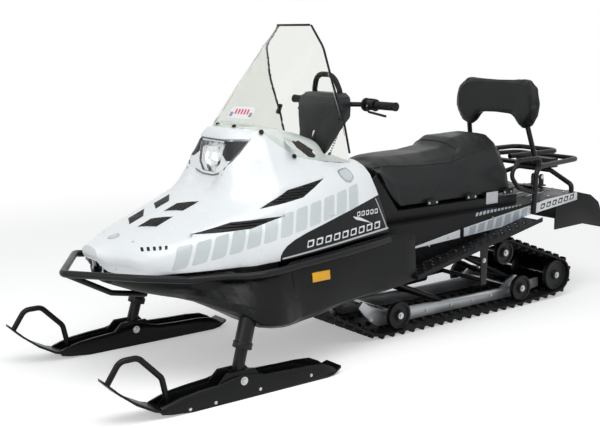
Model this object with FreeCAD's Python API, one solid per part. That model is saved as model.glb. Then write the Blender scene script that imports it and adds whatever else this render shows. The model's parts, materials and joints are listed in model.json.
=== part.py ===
import FreeCAD, Part
import math
import os

# A wide-track utility snowmobile. Lengths are in millimetres. While the pieces are made, x counts
# forward from the ski bolts, y to the rider's left and z up from the snow. At the end everything
# moves along x, so that the origin stands under the middle of the machine's length.

V = FreeCAD.Vector

# Shared clearances and overruns
overrun = 20.0
moving_gap = 6.0
seat_gap = 0.3
running_gap = 0.05

# Skis and the bolts they pivot on
ski_stance = 907.0
ski_bolt_z = 75.0
ski_front = 590.0
ski_back = 500.0
ski_half_width = 62.0
ski_thickness = 11.0
ski_tip_z = 190.0
ski_rib_y = 37.0
ski_rib_thickness = 9.0
ski_rib_height = 112.0
ski_bolt_radius = 8.0
ski_bolt_head_radius = 15.0
ski_bolt_head_length = 9.0
ski_handle_radius = 12.0
ski_handle_bend = 45.0
ski_runner_half_length = 210.0
ski_runner_radius = 6.0
# The ski's side view: shares of the length ahead of and behind the bolt, and of the tip's height
ski_curve_shares = [
    (-1.00, 0.13), (-0.92, 0.04), (-0.84, 0.00), (0.40, 0.00), (0.55, 0.06),
    (0.68, 0.20), (0.80, 0.42), (0.90, 0.68), (1.00, 1.00),
]
# The channel walls' side view and the handle's route, in shares of the same length and heights
ski_wall_shares = [
    (-0.80, 0.08), (-0.77, 0.32), (-0.62, 0.54), (-0.20, 0.60), (-0.12, 1.00), (0.11, 1.00),
    (0.19, 0.60), (0.46, 0.54), (0.55, 0.36), (0.58, 0.14),
]
ski_handle_shares = [(0.955, 0.86), (0.865, 1.27), (0.735, 1.27), (0.570, 0.75), (0.525, 0.10)]
ski_plan_shares = [(-1.00, 0.80), (-0.90, 1.00), (0.55, 1.00), (0.80, 0.84), (0.93, 0.60), (1.00, 0.30)]

# Ski legs: a turning tube in a fixed sleeve, raked back
leg_rake_deg = 16.0
leg_radius = 25.0
leg_foot_half_length = 42.0
leg_foot_height = 62.0
leg_top = 265.0
leg_lean_deg = 1.7
sleeve_radius = 35.0
sleeve_bottom = 118.0
sleeve_top = 280.0
sleeve_collar_radius = 40.0
sleeve_collar_length = 26.0

# Hood: a moulded shell, in shares of its length, half width and rise
hood_front = 400.0
hood_length = 1258.0
hood_half_width = 430.0
hood_rise = 550.0
hood_base_z = 490.0
hood_wall = 5.0
hood_rear_lean = 46.0
cockpit_front_x = -655.0
cockpit_half_width = 186.0
# Each row: station along the hood, then seven points from the centre line out to the lower edge
hood_shares = [
    (0.00, (0.00, 0.185), (0.05, 0.180), (0.09, 0.175), (0.12, 0.165),
           (0.15, 0.145), (0.16, 0.120), (0.13, 0.095)),
    (0.03, (0.00, 0.202), (0.07, 0.200), (0.12, 0.195), (0.17, 0.175),
           (0.23, 0.130), (0.24, 0.060), (0.20, 0.005)),
    (0.06, (0.00, 0.212), (0.10, 0.210), (0.20, 0.200), (0.29, 0.180),
           (0.37, 0.130), (0.38, 0.060), (0.36, 0.000)),
    (0.10, (0.00, 0.235), (0.14, 0.232), (0.28, 0.220), (0.41, 0.190),
           (0.53, 0.130), (0.56, 0.060), (0.57, 0.005)),
    (0.18, (0.00, 0.310), (0.18, 0.305), (0.35, 0.285), (0.52, 0.245),
           (0.66, 0.160), (0.69, 0.070), (0.69, 0.010)),
    (0.28, (0.00, 0.405), (0.20, 0.400), (0.37, 0.375), (0.56, 0.330),
           (0.74, 0.250), (0.79, 0.110), (0.80, 0.015)),
    (0.38, (0.00, 0.500), (0.20, 0.490), (0.36, 0.475), (0.59, 0.420),
           (0.79, 0.300), (0.86, 0.130), (0.88, 0.020)),
    (0.42, (0.00, 0.540), (0.20, 0.545), (0.34, 0.580), (0.58, 0.465),
           (0.79, 0.330), (0.88, 0.140), (0.92, 0.020)),
    (0.45, (0.00, 0.620), (0.20, 0.630), (0.35, 0.710), (0.58, 0.500),
           (0.80, 0.345), (0.90, 0.150), (0.94, 0.025)),
    (0.48, (0.00, 0.930), (0.20, 0.915), (0.36, 0.805), (0.59, 0.530),
           (0.80, 0.360), (0.92, 0.160), (0.95, 0.030)),
    (0.53, (0.00, 0.990), (0.20, 0.982), (0.37, 0.920), (0.61, 0.590),
           (0.80, 0.400), (0.94, 0.190), (0.97, 0.035)),
    (0.58, (0.00, 0.990), (0.22, 0.985), (0.42, 0.965), (0.63, 0.660),
           (0.80, 0.450), (0.94, 0.220), (0.98, 0.045)),
    (0.70, (0.00, 0.955), (0.22, 0.950), (0.40, 0.900), (0.60, 0.700),
           (0.77, 0.530), (0.93, 0.270), (0.98, 0.070)),
    (0.83, (0.00, 0.860), (0.22, 0.855), (0.38, 0.800), (0.56, 0.690),
           (0.74, 0.570), (0.90, 0.320), (0.96, 0.095)),
    (1.00, (0.00, 0.670), (0.22, 0.665), (0.40, 0.655), (0.53, 0.645),
           (0.68, 0.570), (0.84, 0.340), (0.93, 0.125)),
]

# Belly pan: the black lower hull, in shares of its length, the hood's half width and its own depth.
# Width shares above 1 go on from the hood's side towards the outer side of the ski struts.
belly_front = 350.0
belly_length = 1367.0
belly_depth = 260.0
belly_wall = 5.0
belly_shares = [
    (0.00, (0.25, 0.990), (0.24, 0.920), (0.19, 0.840), (0.10, 0.810), (0.00, 0.800)),
    (0.06, (0.50, 0.990), (0.47, 0.820), (0.38, 0.720), (0.20, 0.685), (0.00, 0.670)),
    (0.13, (0.66, 0.990), (0.62, 0.780), (0.50, 0.630), (0.26, 0.575), (0.00, 0.560)),
    (0.22, (0.78, 1.000), (0.76, 0.740), (0.68, 0.510), (0.40, 0.460), (0.00, 0.450)),
    (0.28, (0.84, 1.005), (0.98, 0.720), (1.68, 0.420), (0.72, 0.290), (0.00, 0.360)),
    (0.33, (0.88, 1.010), (1.25, 0.720), (2.21, 0.240), (0.80, 0.150), (0.00, 0.300)),
    (0.42, (0.94, 1.025), (1.25, 0.720), (2.21, 0.160), (0.84, 0.080), (0.00, 0.260)),
    (0.50, (0.96, 1.050), (1.02, 0.760), (1.34, 0.150), (0.80, 0.080), (0.00, 0.240)),
    (0.68, (0.96, 1.120), (0.98, 0.780), (0.97, 0.220), (0.78, 0.160), (0.00, 0.260)),
    (0.88, (0.93, 1.210), (0.94, 0.820), (0.94, 0.270), (0.76, 0.240), (0.00, 0.300)),
    (1.00, (0.92, 1.130), (0.93, 0.860), (0.93, 0.330), (0.76, 0.320), (0.00, 0.340)),
]
belly_base_z = 225.0
belly_opening_x = -428.0
belly_opening_half_width = 300.0

# Bumper and rub rails
bumper_radius = 15.0
bumper_tip_x = 522.0
bumper_tip_z = 492.0
bumper_corner_x = 334.0
bumper_corner_y = 292.0
bumper_bend = 40.0
rail_stand_off = 4.0
# Stations along the hull, as shares of the belly's length, that the rub rail passes
rail_station_shares = (0.16, 0.22, 0.27, 0.31, 0.36, 0.42, 0.52, 0.68, 0.87)
rail_stud_radius = 6.0
rail_stud_shares = (0.39, 0.56, 0.74)
lower_tube_radius = 12.0
lower_tube_mid_x = 310.0
lower_tube_mid_z = 380.0
lower_tube_end_x = 150.0

# Vents in the hood, as prisms that cut through it: two pairs on top, two lenses on each side
top_vent_x = (199.0, 74.0)
top_vent_length = 120.0
top_vent_inner_y = 34.0
top_vent_width = 90.0
side_vents = [
    (90.0, -310.0, 640.0, 684.0, 44.0),
    (-215.0, -560.0, 716.0, 812.0, 60.0),
]

vent_frame = 5.0
vent_slot = 4.0
vent_slot_pitch = 10.0
# Air openings in the cowl's flanks below the windshield, as length and rise shares of the hood
cowl_opening_shares = [(0.695, 0.850), (0.737, 0.868), (0.793, 0.775), (0.765, 0.700)]
cowl_opening_inner_y = 110.0
cowl_opening_outer_y = 232.0

# Hood hinge: ears under the hood's lip turn on pins in the belly's brackets
hinge_forward = 10.0
hinge_x = belly_front + hinge_forward
hinge_z = 487.0
hinge_y = 45.0
hinge_ear_radius = 8.0
hinge_ear_width = 8.0
hinge_pin_radius = 5.0
hinge_cheek_width = 5.0
hinge_ear_rise = 150.0

# Lamp and windshield
lamp_half_width = 100.0
lamp_bottom_z = 845.0
lamp_top_z = 972.0
shield_thickness = 4.0
shield_top_z = 1461.0
shield_root_share = 0.56
shield_front_x = -60.0
shield_length = 740.0
shield_half_width = 245.0
# Each row: height share, then five points as length and half width shares from centre to rear edge
shield_shares = [
    (0.00, (0.243, 0.00), (0.275, 0.40), (0.372, 0.76), (0.560, 0.98), (0.965, 0.98)),
    (0.36, (0.248, 0.00), (0.280, 0.40), (0.368, 0.76), (0.590, 0.96), (0.892, 0.98)),
    (0.63, (0.455, 0.00), (0.472, 0.38), (0.530, 0.68), (0.650, 0.88), (0.808, 0.96)),
    (0.86, (0.650, 0.00), (0.658, 0.34), (0.682, 0.60), (0.718, 0.76), (0.762, 0.88)),
    (1.00, (0.755, 0.00), (0.757, 0.18), (0.760, 0.32), (0.765, 0.43), (0.770, 0.50)),
]
trim_radius = 5.0
trim_bend = 60.0
trim_start_share = 0.42

# Tunnel, running boards and engine
track_half_width = 250.0
tunnel_side_room = 40.0
tunnel_half_width = track_half_width + tunnel_side_room
tunnel_wall = 4.0
tunnel_front_x = -420.0
tunnel_front_z = 540.0
tunnel_kink_x = -1936.0
tunnel_kink_z = 556.0
tunnel_rear_x = -2284.0
tunnel_rear_z = 578.0
tunnel_rear_drop = 42.0
tunnel_front_low_z = 318.0
deck_rib_y = (62.0, 142.0)
deck_rib_height = 4.0
deck_rib_half_width = 13.0
deck_rib_margin = 38.0
board_front_z = 318.0
board_rear_x = -1862.0
board_rear_z = 490.0
board_inset = 10.0
board_outer_y = hood_half_width - board_inset
board_thickness = 5.0
board_lip = 16.0
engine_length = 330.0
engine_width = 420.0
engine_height = 300.0
engine_front_x = -60.0

# Seat, its base and the backrest
seat_front_x = -978.0
seat_rear_x = -1852.0
seat_half_width = 222.0
seat_bottom_z = 602.0
seat_height = 310.0
# Each row: station share from front to rear, bottom and top height shares, top half width share
seat_shares = [
    (0.000, 0.60, 0.68, 0.50),
    (0.050, 0.20, 0.73, 0.62),
    (0.120, 0.00, 0.76, 0.68),
    (0.400, 0.00, 0.78, 0.72),
    (0.560, 0.00, 0.83, 0.74),
    (0.640, 0.00, 0.97, 0.74),
    (0.920, 0.00, 1.00, 0.70),
    (1.000, 0.02, 0.78, 0.66),
]
base_half_width = 232.0
base_front_x = -872.0
base_front_top_z = 800.0
base_thickness = 6.0
rest_x = -1968.0
rest_thickness = 70.0
rest_half_width = 288.0
rest_bottom_z = 929.0
rest_height = 252.0
rest_outline_shares = [
    (0.00, 0.215), (0.36, 0.200), (0.52, 0.060), (0.66, 0.000), (0.84, 0.090), (0.97, 0.300),
    (1.00, 0.520), (0.92, 0.800), (0.74, 0.960), (0.50, 1.000), (0.00, 0.985),
]
post_radius = 13.0
post_y = 206.0
post_foot_x = -2020.0
post_foot_y = 232.0

# Rack, grab handles, tail lamp, hitch and snow flap
rack_radius = 13.0
rack_rail_z = 742.0
rack_front_x = -1925.0
rack_rear_x = -2372.0
rack_rear_y = 215.0
rack_bend = 55.0
rack_foot_z = 500.0
hoop_rise = 44.0
hoop_front_x = -1905.0
hoop_rear_x = -2290.0
hoop_half_width = 150.0
rear_leg_foot_x = -2262.0
rear_leg_foot_y = 268.0
rear_leg_top_y = 112.0
handle_radius = 11.0
handle_top_x = -1965.0
handle_front_x = -1745.0
handle_front_z = 715.0
handle_bottom_z = 612.0
handle_bend = 40.0
tail_lamp_width = 245.0
tail_lamp_height = 50.0
tail_lamp_depth = 62.0
hitch_plate = 8.0
hitch_cheek_length = 34.0
hitch_cheek_rise = 58.0
hitch_gap = 46.0
hitch_base_width = 96.0
hitch_base_length = 110.0
hitch_bore_radius = 8.0
hitch_behind = 34.0
flap_thickness = 7.0
flap_skirt_front_x = -2120.0
flap_skirt_low_z = 392.0
flap_reach = 240.0
flap_drop = 215.0
flap_outline_shares = [(0.00, 0.00), (0.50, 0.13), (0.78, 0.34), (0.93, 0.66), (1.00, 1.00)]

# Track, wheels and slide rails
track_belt = 8.0
lug_height = 17.0
lug_pitch = 64.0
lug_base_share = 0.30
lug_tip_share = 0.16
bogie_radius = 68.0
idler_radius = 84.0
idler_x = -2205.0
idler_z = 125.0
middle_bogie_x = -1935.0
front_bogie_x = -1079.0
bogie_z = 93.0
front_bend_radius = 230.0
front_bend_x = -985.0
drive_x = -548.0
drive_z = 330.0
drive_radius = 88.0
carrier_x = -1800.0
carrier_z = 302.0
carrier_radius = 62.0
wheel_width = 26.0
wheel_hub_radius = 26.0
wheel_hub_length = 34.0
wheel_y = 221.0
axle_radius = 11.0
rail_y = 150.0
rail_thickness = 14.0
rail_front_x = -885.0
rail_rear_x = -2150.0
rail_height = 64.0
rail_outline_shares = [
    (0.000, 1.85), (0.030, 1.15), (0.075, 0.38), (0.110, 0.00), (0.825, 0.00), (1.000, 0.50),
    (1.000, 1.25), (0.905, 1.20), (0.880, 1.75), (0.850, 1.90), (0.815, 1.60), (0.770, 1.00),
    (0.450, 1.00), (0.200, 1.20), (0.120, 1.30), (0.060, 1.75), (0.020, 2.30),
]
arm_radius = 14.0
arm_cross_radius = 11.0
front_arm_low_x = -1438.0
front_arm_high_x = -930.0
front_arm_high_z = 308.0
damper_front_x = -1225.0
damper_rear_z = 196.0
rear_arm_low_x = -1962.0
rear_arm_high_x = -1590.0
rear_arm_high_z = 300.0
arm_bracket_width = 60.0
arm_bracket_thickness = 6.0
damper_radius = 27.0
damper_rod_radius = 8.0
damper_body_share = 0.62

# Steering
steer_x = -836.0
steer_z = 1104.0
steer_rake_deg = 30.0
bar_radius = 11.0
bar_bend = 40.0
bar_centre_y = 72.0
bar_rise_y = 175.0
bar_rise_back = 70.0
bar_end_y = 372.0
bar_end_back = 76.0
grip_radius = 17.0
grip_length = 128.0
control_length = 56.0
control_radius = 24.0
lever_radius = 5.5
lever_reach = 96.0
lever_forward = 34.0
lever_drop = 34.0
loop_radius = 12.5
loop_y = 102.0
loop_top_rise = 134.0
loop_bend = 75.0
# The cover over the bar's middle: side view as depth and height shares, front view as half width
pad_half_width = 132.0
pad_height = 248.0
pad_depth = 118.0
pad_forward = 98.0
pad_rise = 52.0
pad_wall = 4.0
pad_side_shares = [
    (0.00, 0.00), (0.14, 0.78), (0.24, 0.93), (0.42, 1.00), (0.93, 1.00), (1.00, 0.90), (1.00, 0.55),
]
pad_front_shares = [(0.74, 0.00), (0.97, 0.60), (1.00, 0.80), (0.95, 0.93), (0.80, 1.00)]
column_radius = 14.0
column_length = 330.0
bearing_distance = 322.0
bearing_length = 30.0

# Console in front of the rider, in shares of its width, depth and height
console_half_width = 150.0
console_front_x = -600.0
console_depth = 265.0
console_bottom_z = 760.0
console_height = 80.0

# Tether cord: leaves the cover's left side and ends in the clip that pulls off the stop switch
tether_radius = 6.0
tether_points = [
    (-801.0, 127.7, 1027.0), (-795.0, 134.0, 1006.0), (-777.0, 134.0, 981.0), (-760.0, 131.0, 944.0),
    (-742.0, 128.0, 912.0),
]
tether_clip_radius = 7.0
tether_clip_length = 18.0

# Side reflectors
reflector_x = -500.0
reflector_z = 398.0
reflector_length = 96.0
reflector_height = 40.0
reflector_depth = 6.0


def lerp(a, b, share):
    return a + (b - a) * share


def closed_face(points):
    return Part.Face(Part.makePolygon(points + [points[0]]))


def narrowed(face, margin):
    return face.makeOffset2D(-margin) if margin else face


def cylinder_between(start, end, radius):
    along = end - start
    return Part.makeCylinder(radius, along.Length, start, along)


def box_between(low, high):
    size = high - low
    return Part.makeBox(size.x, size.y, size.z, low)


def mirrored(shape):
    return shape.mirror(V(0, 0, 0), V(0, 1, 0))


def fused(shapes):
    return shapes[0].multiFuse(shapes[1:]).removeSplitter()


def rounded_path(points, bend):
    """Straight runs joined by tangent arcs of one bend radius, smaller where runs are short."""
    edges = []
    start = points[0]
    for before, corner, after in zip(points, points[1:], points[2:]):
        back = (before - corner).normalize()
        on = (after - corner).normalize()
        half = back.getAngle(on) / 2
        room = min((before - corner).Length, (after - corner).Length) * 0.45
        reach = min(bend / math.tan(half), room)
        radius = reach * math.tan(half)
        first = corner + back * reach
        last = corner + on * reach
        middle = corner + (back + on).normalize() * (radius / math.sin(half) - radius)
        edges.append(Part.LineSegment(start, first).toShape())
        edges.append(Part.Arc(first, middle, last).toShape())
        start = last
    edges.append(Part.LineSegment(start, points[-1]).toShape())
    return Part.Wire(edges)


def tube(points, radius, bend):
    path = rounded_path(points, bend)
    section = Part.Wire(Part.Circle(points[0], points[1] - points[0], radius).toShape())
    return path.makePipeShell([section], True, False)


def both_sides(points):
    """A route from the rider's left to the centre line, carried on to the right as its mirror."""
    return points + [V(p.x, -p.y, p.z) for p in reversed(points) if p.y > 0]


# The hull's stations: hood, belly pan and shield share one way of turning shares into sections


def through(a, b, c, d, share):
    """The smooth curve from b to c that heads on towards its neighbours a and d."""
    bend = (b - c) * 3 + d - a
    sag = a * 2 - b * 5 + c * 4 - d
    return b + ((c - a) * share + sag * share ** 2 + bend * share ** 3) / 2


def smooth_list(values, steps):
    """A list of equal tuples with steps - 1 smoothly placed ones between each pair."""
    padded = [values[0]] + values + [values[-1]]
    dense = []
    for four in zip(padded, padded[1:], padded[2:], padded[3:]):
        for step in range(steps):
            dense.append(tuple(through(*column, step / steps) for column in zip(*four)))
    return dense + [values[-1]]


def smooth_table(table, along):
    """Doubles the points of each row, and the rows themselves when along is 2."""
    rows = []
    for row in table:
        points = smooth_list(list(row[1:]), 2)
        rows.append((row[0],) + tuple(value for point in points for value in point))
    return [(row[0],) + tuple(zip(row[1::2], row[2::2])) for row in smooth_list(rows, along)]


def hood_x(share):
    return hood_front - share * hood_length


def belly_x(share):
    return belly_front - share * belly_length


def hood_chain(row):
    return [(y * hood_half_width, hood_base_z + z * hood_rise) for y, z in row[1:]]


def belly_y(share):
    strut_side = ski_stance / 2 + sleeve_collar_radius
    return share * hood_half_width if share < 1 else lerp(hood_half_width, strut_side, share - 1)


def belly_chain(row):
    return [(belly_y(y), belly_base_z + z * belly_depth) for y, z in row[1:]]


def inset_chain(chain, wall):
    """The chain moved inward by one wall, at right angles to its two neighbouring runs."""
    moved = []
    for index, (y, z) in enumerate(chain):
        before = chain[max(index - 1, 0)]
        after = chain[min(index + 1, len(chain) - 1)]
        run_y = after[0] - before[0]
        run_z = after[1] - before[1]
        run = math.hypot(run_y, run_z)
        moved.append((max(y + run_z / run * wall, 0), z - run_y / run * wall))
    moved[0] = (0, moved[0][1]) if chain[0][0] == 0 else moved[0]
    moved[-1] = (0, moved[-1][1]) if chain[-1][0] == 0 else moved[-1]
    return moved


def section_wire(x, chain):
    left = [V(x, y, z) for y, z in chain]
    right = [V(x, -y, z) for y, z in reversed(chain) if y > 0]
    points = left + right
    return Part.makePolygon(points + [points[0]])


def hood_solid(wall):
    """The hood as a closed hull; with a wall, the hollow inside it, open below and behind."""
    wires = []
    for row in smooth_table(hood_shares, 2):
        chain = hood_chain(row)
        x = hood_x(row[0])
        if wall:
            chain = inset_chain(chain, wall)
            x = x - wall if row[0] < 1 else x - overrun
            chain.append((chain[-1][0], chain[-1][1] - overrun))
        wires.append(section_wire(x, chain))
    return Part.makeLoft(wires, True, True)


def hood_blank():
    shell = hood_solid(0).cut(hood_solid(hood_wall))
    rear_x = hood_x(1)
    top_z = hood_base_z + hood_rise
    wedge = closed_face([
        V(rear_x, 0, hood_base_z + moving_gap),
        V(rear_x - overrun, 0, hood_base_z + moving_gap),
        V(rear_x - overrun, 0, top_z),
        V(rear_x + hood_rear_lean * hood_rise / (top_z - hood_base_z), 0, top_z),
    ])
    wedge.translate(V(0, -hood_half_width * 2, 0))
    shell = shell.cut(wedge.extrude(V(0, hood_half_width * 4, 0)))
    cockpit = box_between(
        V(rear_x - overrun, -cockpit_half_width, hood_base_z),
        V(cockpit_front_x, cockpit_half_width, top_z + overrun))
    return shell.cut(cockpit)


def lamp_prism(margin):
    points = [
        V(0, lamp_half_width * 0.45, lamp_bottom_z),
        V(0, lamp_half_width * 0.85, lerp(lamp_bottom_z, lamp_top_z, 0.30)),
        V(0, lamp_half_width, lamp_top_z),
    ]
    points = points + [V(0, -p.y, p.z) for p in reversed(points)]
    face = narrowed(closed_face(points), margin)
    face.translate(V(hood_x(0.60), 0, 0))
    return face.extrude(V(hood_x(0.30) - hood_x(0.60), 0, 0))


def top_vent(front_x, margin):
    inner = top_vent_inner_y
    outer = top_vent_inner_y + top_vent_width
    slant = top_vent_width * 0.45
    face = closed_face([
        V(front_x, inner, 0),
        V(front_x - top_vent_length * 0.55, inner, 0),
        V(front_x - top_vent_length, outer, 0),
        V(front_x - slant, outer, 0),
    ])
    face = narrowed(face, margin)
    face.translate(V(0, 0, hood_base_z))
    return face.extrude(V(0, 0, hood_rise))


def side_vent(front_x, rear_x, front_z, rear_z, height, margin):
    face = closed_face([
        V(front_x, 0, front_z),
        V(lerp(front_x, rear_x, 0.42), 0, lerp(front_z, rear_z, 0.42) + height * 0.42),
        V(rear_x, 0, rear_z),
        V(lerp(front_x, rear_x, 0.60), 0, lerp(front_z, rear_z, 0.60) - height * 0.45),
    ])
    face = narrowed(face, margin)
    face.translate(V(0, cockpit_half_width, 0))
    return face.extrude(V(0, hood_half_width, 0))


def vent_prisms(margin):
    prisms = [top_vent(x, margin) for x in top_vent_x]
    prisms += [side_vent(*vent, margin) for vent in side_vents]
    return prisms + [mirrored(prism) for prism in prisms]


def cowl_opening(side):
    face = closed_face([V(hood_x(x), 0, hood_base_z + z * hood_rise) for x, z in cowl_opening_shares])
    face.translate(V(0, cowl_opening_inner_y, 0))
    prism = face.extrude(V(0, cowl_opening_outer_y - cowl_opening_inner_y, 0))
    return prism if side > 0 else mirrored(prism)


def slotted(vent, prism, across):
    """The vent with a row of slots inside its frame, across the machine or along it."""
    room = prism.BoundBox
    slots = []
    start, end = (room.XMin, room.XMax) if across else (room.ZMin, room.ZMax)
    place = start + vent_slot_pitch
    while place < end:
        low = V(room.XMin, room.YMin, place)
        high = V(room.XMax, room.YMax, place + vent_slot)
        if across:
            low = V(place, room.YMin, room.ZMin)
            high = V(place + vent_slot, room.YMax, room.ZMax)
        slots.append(box_between(low, high).common(prism))
        place += vent_slot_pitch
    return vent.cut([slot for slot in slots if slot.Volume > 0])


def under_lip():
    """The room below the hood's lip at the nose, where the ears reach the pins."""
    return box_between(
        V(0, -hood_half_width, hinge_z - overrun),
        V(hood_front, hood_half_width, hood_base_z + hinge_ear_radius * 2))


def on_hinge(y):
    return V(hinge_x, y, hinge_z)


def hinge_ear(side):
    low_y = side * hinge_y - hinge_ear_width / 2
    disc = cylinder_between(on_hinge(low_y), on_hinge(low_y + hinge_ear_width), hinge_ear_radius)
    arm = box_between(
        V(hinge_x - hinge_ear_radius * 0.8, low_y, hinge_z),
        V(hinge_x + hinge_ear_radius * 0.8, low_y + hinge_ear_width, hinge_z + hinge_ear_rise))
    return disc.fuse(arm)


def make_hinge_brackets():
    solids = []
    for side in (1, -1):
        parts = []
        half = hinge_ear_width / 2 + seat_gap
        for cheek_side in (-1, 1):
            low_y = side * hinge_y + cheek_side * half - (hinge_cheek_width if cheek_side < 0 else 0)
            parts.append(box_between(
                V(belly_front, low_y, hinge_z - hinge_ear_radius * 3.5),
                V(hinge_x + hinge_ear_radius * 0.8, low_y + hinge_cheek_width, hinge_z)))
            parts.append(cylinder_between(
                on_hinge(low_y), on_hinge(low_y + hinge_cheek_width), hinge_ear_radius * 0.8))
        reach = half + hinge_cheek_width
        parts.append(cylinder_between(
            on_hinge(side * hinge_y - reach), on_hinge(side * hinge_y + reach), hinge_pin_radius))
        solids.append(fused(parts))
    return Part.makeCompound(solids)


def make_hood(hull, blank):
    shell = blank.cut(lamp_prism(0))
    for side in (1, -1):
        shell = shell.fuse(hinge_ear(side).common(hull.fuse(under_lip())))
    shell = shell.cut(cylinder_between(
        on_hinge(-hinge_y * 2), on_hinge(hinge_y * 2), hinge_pin_radius + running_gap))
    openings = vent_prisms(0) + [cowl_opening(1), cowl_opening(-1)]
    for prism in openings:
        shell = shell.cut(prism)
    return shell


def make_vents(blank):
    vents = []
    for plate, room in zip(vent_prisms(seat_gap), vent_prisms(vent_frame)):
        across = room.BoundBox.ZLength > hood_rise * 0.9
        vents.append(slotted(blank.common(plate), room, across))
    return Part.makeCompound(vents)


def make_lamp(blank):
    return blank.common(lamp_prism(seat_gap))


def shield_z(share):
    """Heights on the shield count from its root, which lies inside the hood's pod."""
    return lerp(hood_base_z + hood_rise * shield_root_share, shield_top_z, share)


def shield_section(row, wall):
    z = shield_z(row[0])
    outer = [(shield_front_x - x * shield_length, y * shield_half_width) for x, y in row[1:]]
    inner = []
    for index, (x, y) in enumerate(outer):
        before = outer[max(index - 1, 0)]
        after = outer[min(index + 1, len(outer) - 1)]
        run = math.hypot(after[0] - before[0], after[1] - before[1])
        inner.append((x - (after[1] - before[1]) / run * wall, max(y + (after[0] - before[0]) / run * wall, 0)))
    inner[0] = (outer[0][0] - wall, 0)
    points = [V(x, y, z) for x, y in outer] + [V(x, y, z) for x, y in reversed(inner)]
    points += [V(x, -y, z) for x, y in inner[1:]] + [V(x, -y, z) for x, y in reversed(outer[1:])]
    return Part.makePolygon(points + [points[0]])


def make_shield(hull):
    wires = [shield_section(row, shield_thickness) for row in smooth_table(shield_shares, 1)]
    sheet = Part.makeLoft(wires, True, True)
    lifted = hull.copy()
    lifted.translate(V(0, 0, seat_gap))
    return sheet.cut(lifted)


def make_shield_trim():
    """The rubber strip that hugs the shield's rear edge, from the hood up over the top corner."""
    sides = []
    for side in (1, -1):
        points = []
        for row in shield_shares:
            x, y = row[-1]
            back = trim_radius + shield_thickness
            rear_x = shield_front_x - x * shield_length - back
            points.append(V(rear_x, side * y * shield_half_width, shield_z(row[0])))
        points[0] = lerp(points[0], points[1], trim_start_share)
        sides.append(tube(points, trim_radius, trim_bend))
    return Part.makeCompound(sides)


def make_belly():
    outer = []
    inner = []
    for row in smooth_table(belly_shares, 2):
        chain = belly_chain(row)
        x = belly_x(row[0])
        outer.append(section_wire(x, chain))
        hollow = inset_chain(list(reversed(chain)), -belly_wall)
        hollow.reverse()
        hollow[0] = (hollow[0][0], hollow[0][1] + overrun)
        inner_x = x - belly_wall if row[0] < 1 else x - overrun
        inner.append(section_wire(inner_x, hollow))
    pan = Part.makeLoft(outer, True, True).cut(Part.makeLoft(inner, True, True))
    rear_x = belly_x(1) - overrun
    opening = box_between(
        V(rear_x, -belly_opening_half_width, 0),
        V(belly_opening_x, belly_opening_half_width, hood_base_z + hood_rise))
    pan = pan.cut(opening)
    for side in (1, -1):
        hole = cylinder_between(on_leg(sleeve_bottom, side), on_leg(sleeve_top, side), sleeve_radius + seat_gap)
        pan = pan.cut(hole)
    return pan


def leg_axis(side):
    rake = math.tan(math.radians(leg_rake_deg))
    lean = math.tan(math.radians(leg_lean_deg))
    return V(-rake, -side * lean, 1).normalize()


def on_leg(distance, side):
    return V(0, side * ski_stance / 2, ski_bolt_z) + leg_axis(side) * distance


def make_sleeve(side):
    bore = leg_radius + running_gap
    outer = cylinder_between(on_leg(sleeve_bottom, side), on_leg(sleeve_top, side), sleeve_radius)
    collar = cylinder_between(
        on_leg(sleeve_bottom, side), on_leg(sleeve_bottom + sleeve_collar_length, side), sleeve_collar_radius)
    hole = cylinder_between(on_leg(0, side), on_leg(leg_top + overrun, side), bore)
    return outer.fuse(collar).cut(hole)


def make_leg(side):
    y = side * ski_stance / 2
    half = ski_rib_y - ski_rib_thickness / 2 - seat_gap
    tube_solid = cylinder_between(on_leg(leg_foot_height * 0.4, side), on_leg(leg_top, side), leg_radius)
    foot = cylinder_between(V(0, y - half, ski_bolt_z), V(0, y + half, ski_bolt_z), leg_foot_half_length * 0.7)
    bolt_half = ski_rib_y + ski_rib_thickness
    bolt = cylinder_between(V(0, y - bolt_half, ski_bolt_z), V(0, y + bolt_half, ski_bolt_z), ski_bolt_radius)
    heads = []
    for end in (-1, 1):
        start = V(0, y + end * bolt_half, ski_bolt_z)
        heads.append(cylinder_between(start, start + V(0, end * ski_bolt_head_length, 0), ski_bolt_head_radius))
    return fused([tube_solid, foot, bolt] + heads)


def ski_x(share):
    return share * (ski_front if share > 0 else ski_back)


def make_ski(side):
    y = side * ski_stance / 2
    rise = ski_tip_z - ski_thickness
    under = [V(ski_x(x), y, z * rise) for x, z in ski_curve_shares]
    over = [p + V(0, 0, ski_thickness) for p in reversed(under)]
    blade = closed_face(under + over)
    blade.translate(V(0, -ski_half_width, 0))
    blade = blade.extrude(V(0, 2 * ski_half_width, 0))
    plan = [V(ski_x(x), y + w * ski_half_width, 0) for x, w in ski_plan_shares]
    plan += [V(ski_x(x), y - w * ski_half_width, 0) for x, w in reversed(ski_plan_shares)]
    blade = blade.common(closed_face(plan).extrude(V(0, 0, 2 * ski_tip_z)))
    ribs = []
    for rib_side in (-1, 1):
        rib_y = y + rib_side * ski_rib_y - ski_rib_thickness / 2
        outline = [V(ski_x(x), rib_y, z * ski_rib_height) for x, z in ski_wall_shares]
        ribs.append(closed_face(outline).extrude(V(0, ski_rib_thickness, 0)))
    route = [V(ski_x(x), y, z * ski_tip_z) for x, z in ski_handle_shares]
    handle = tube(route, ski_handle_radius, ski_handle_bend)
    runner = cylinder_between(
        V(-ski_runner_half_length, y, ski_runner_radius), V(ski_runner_half_length, y, ski_runner_radius),
        ski_runner_radius)
    ski = fused([blade, runner] + ribs + [handle])
    hole = cylinder_between(
        V(0, y - ski_half_width, ski_bolt_z), V(0, y + ski_half_width, ski_bolt_z),
        ski_bolt_radius + running_gap)
    return ski.cut(hole)


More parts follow.
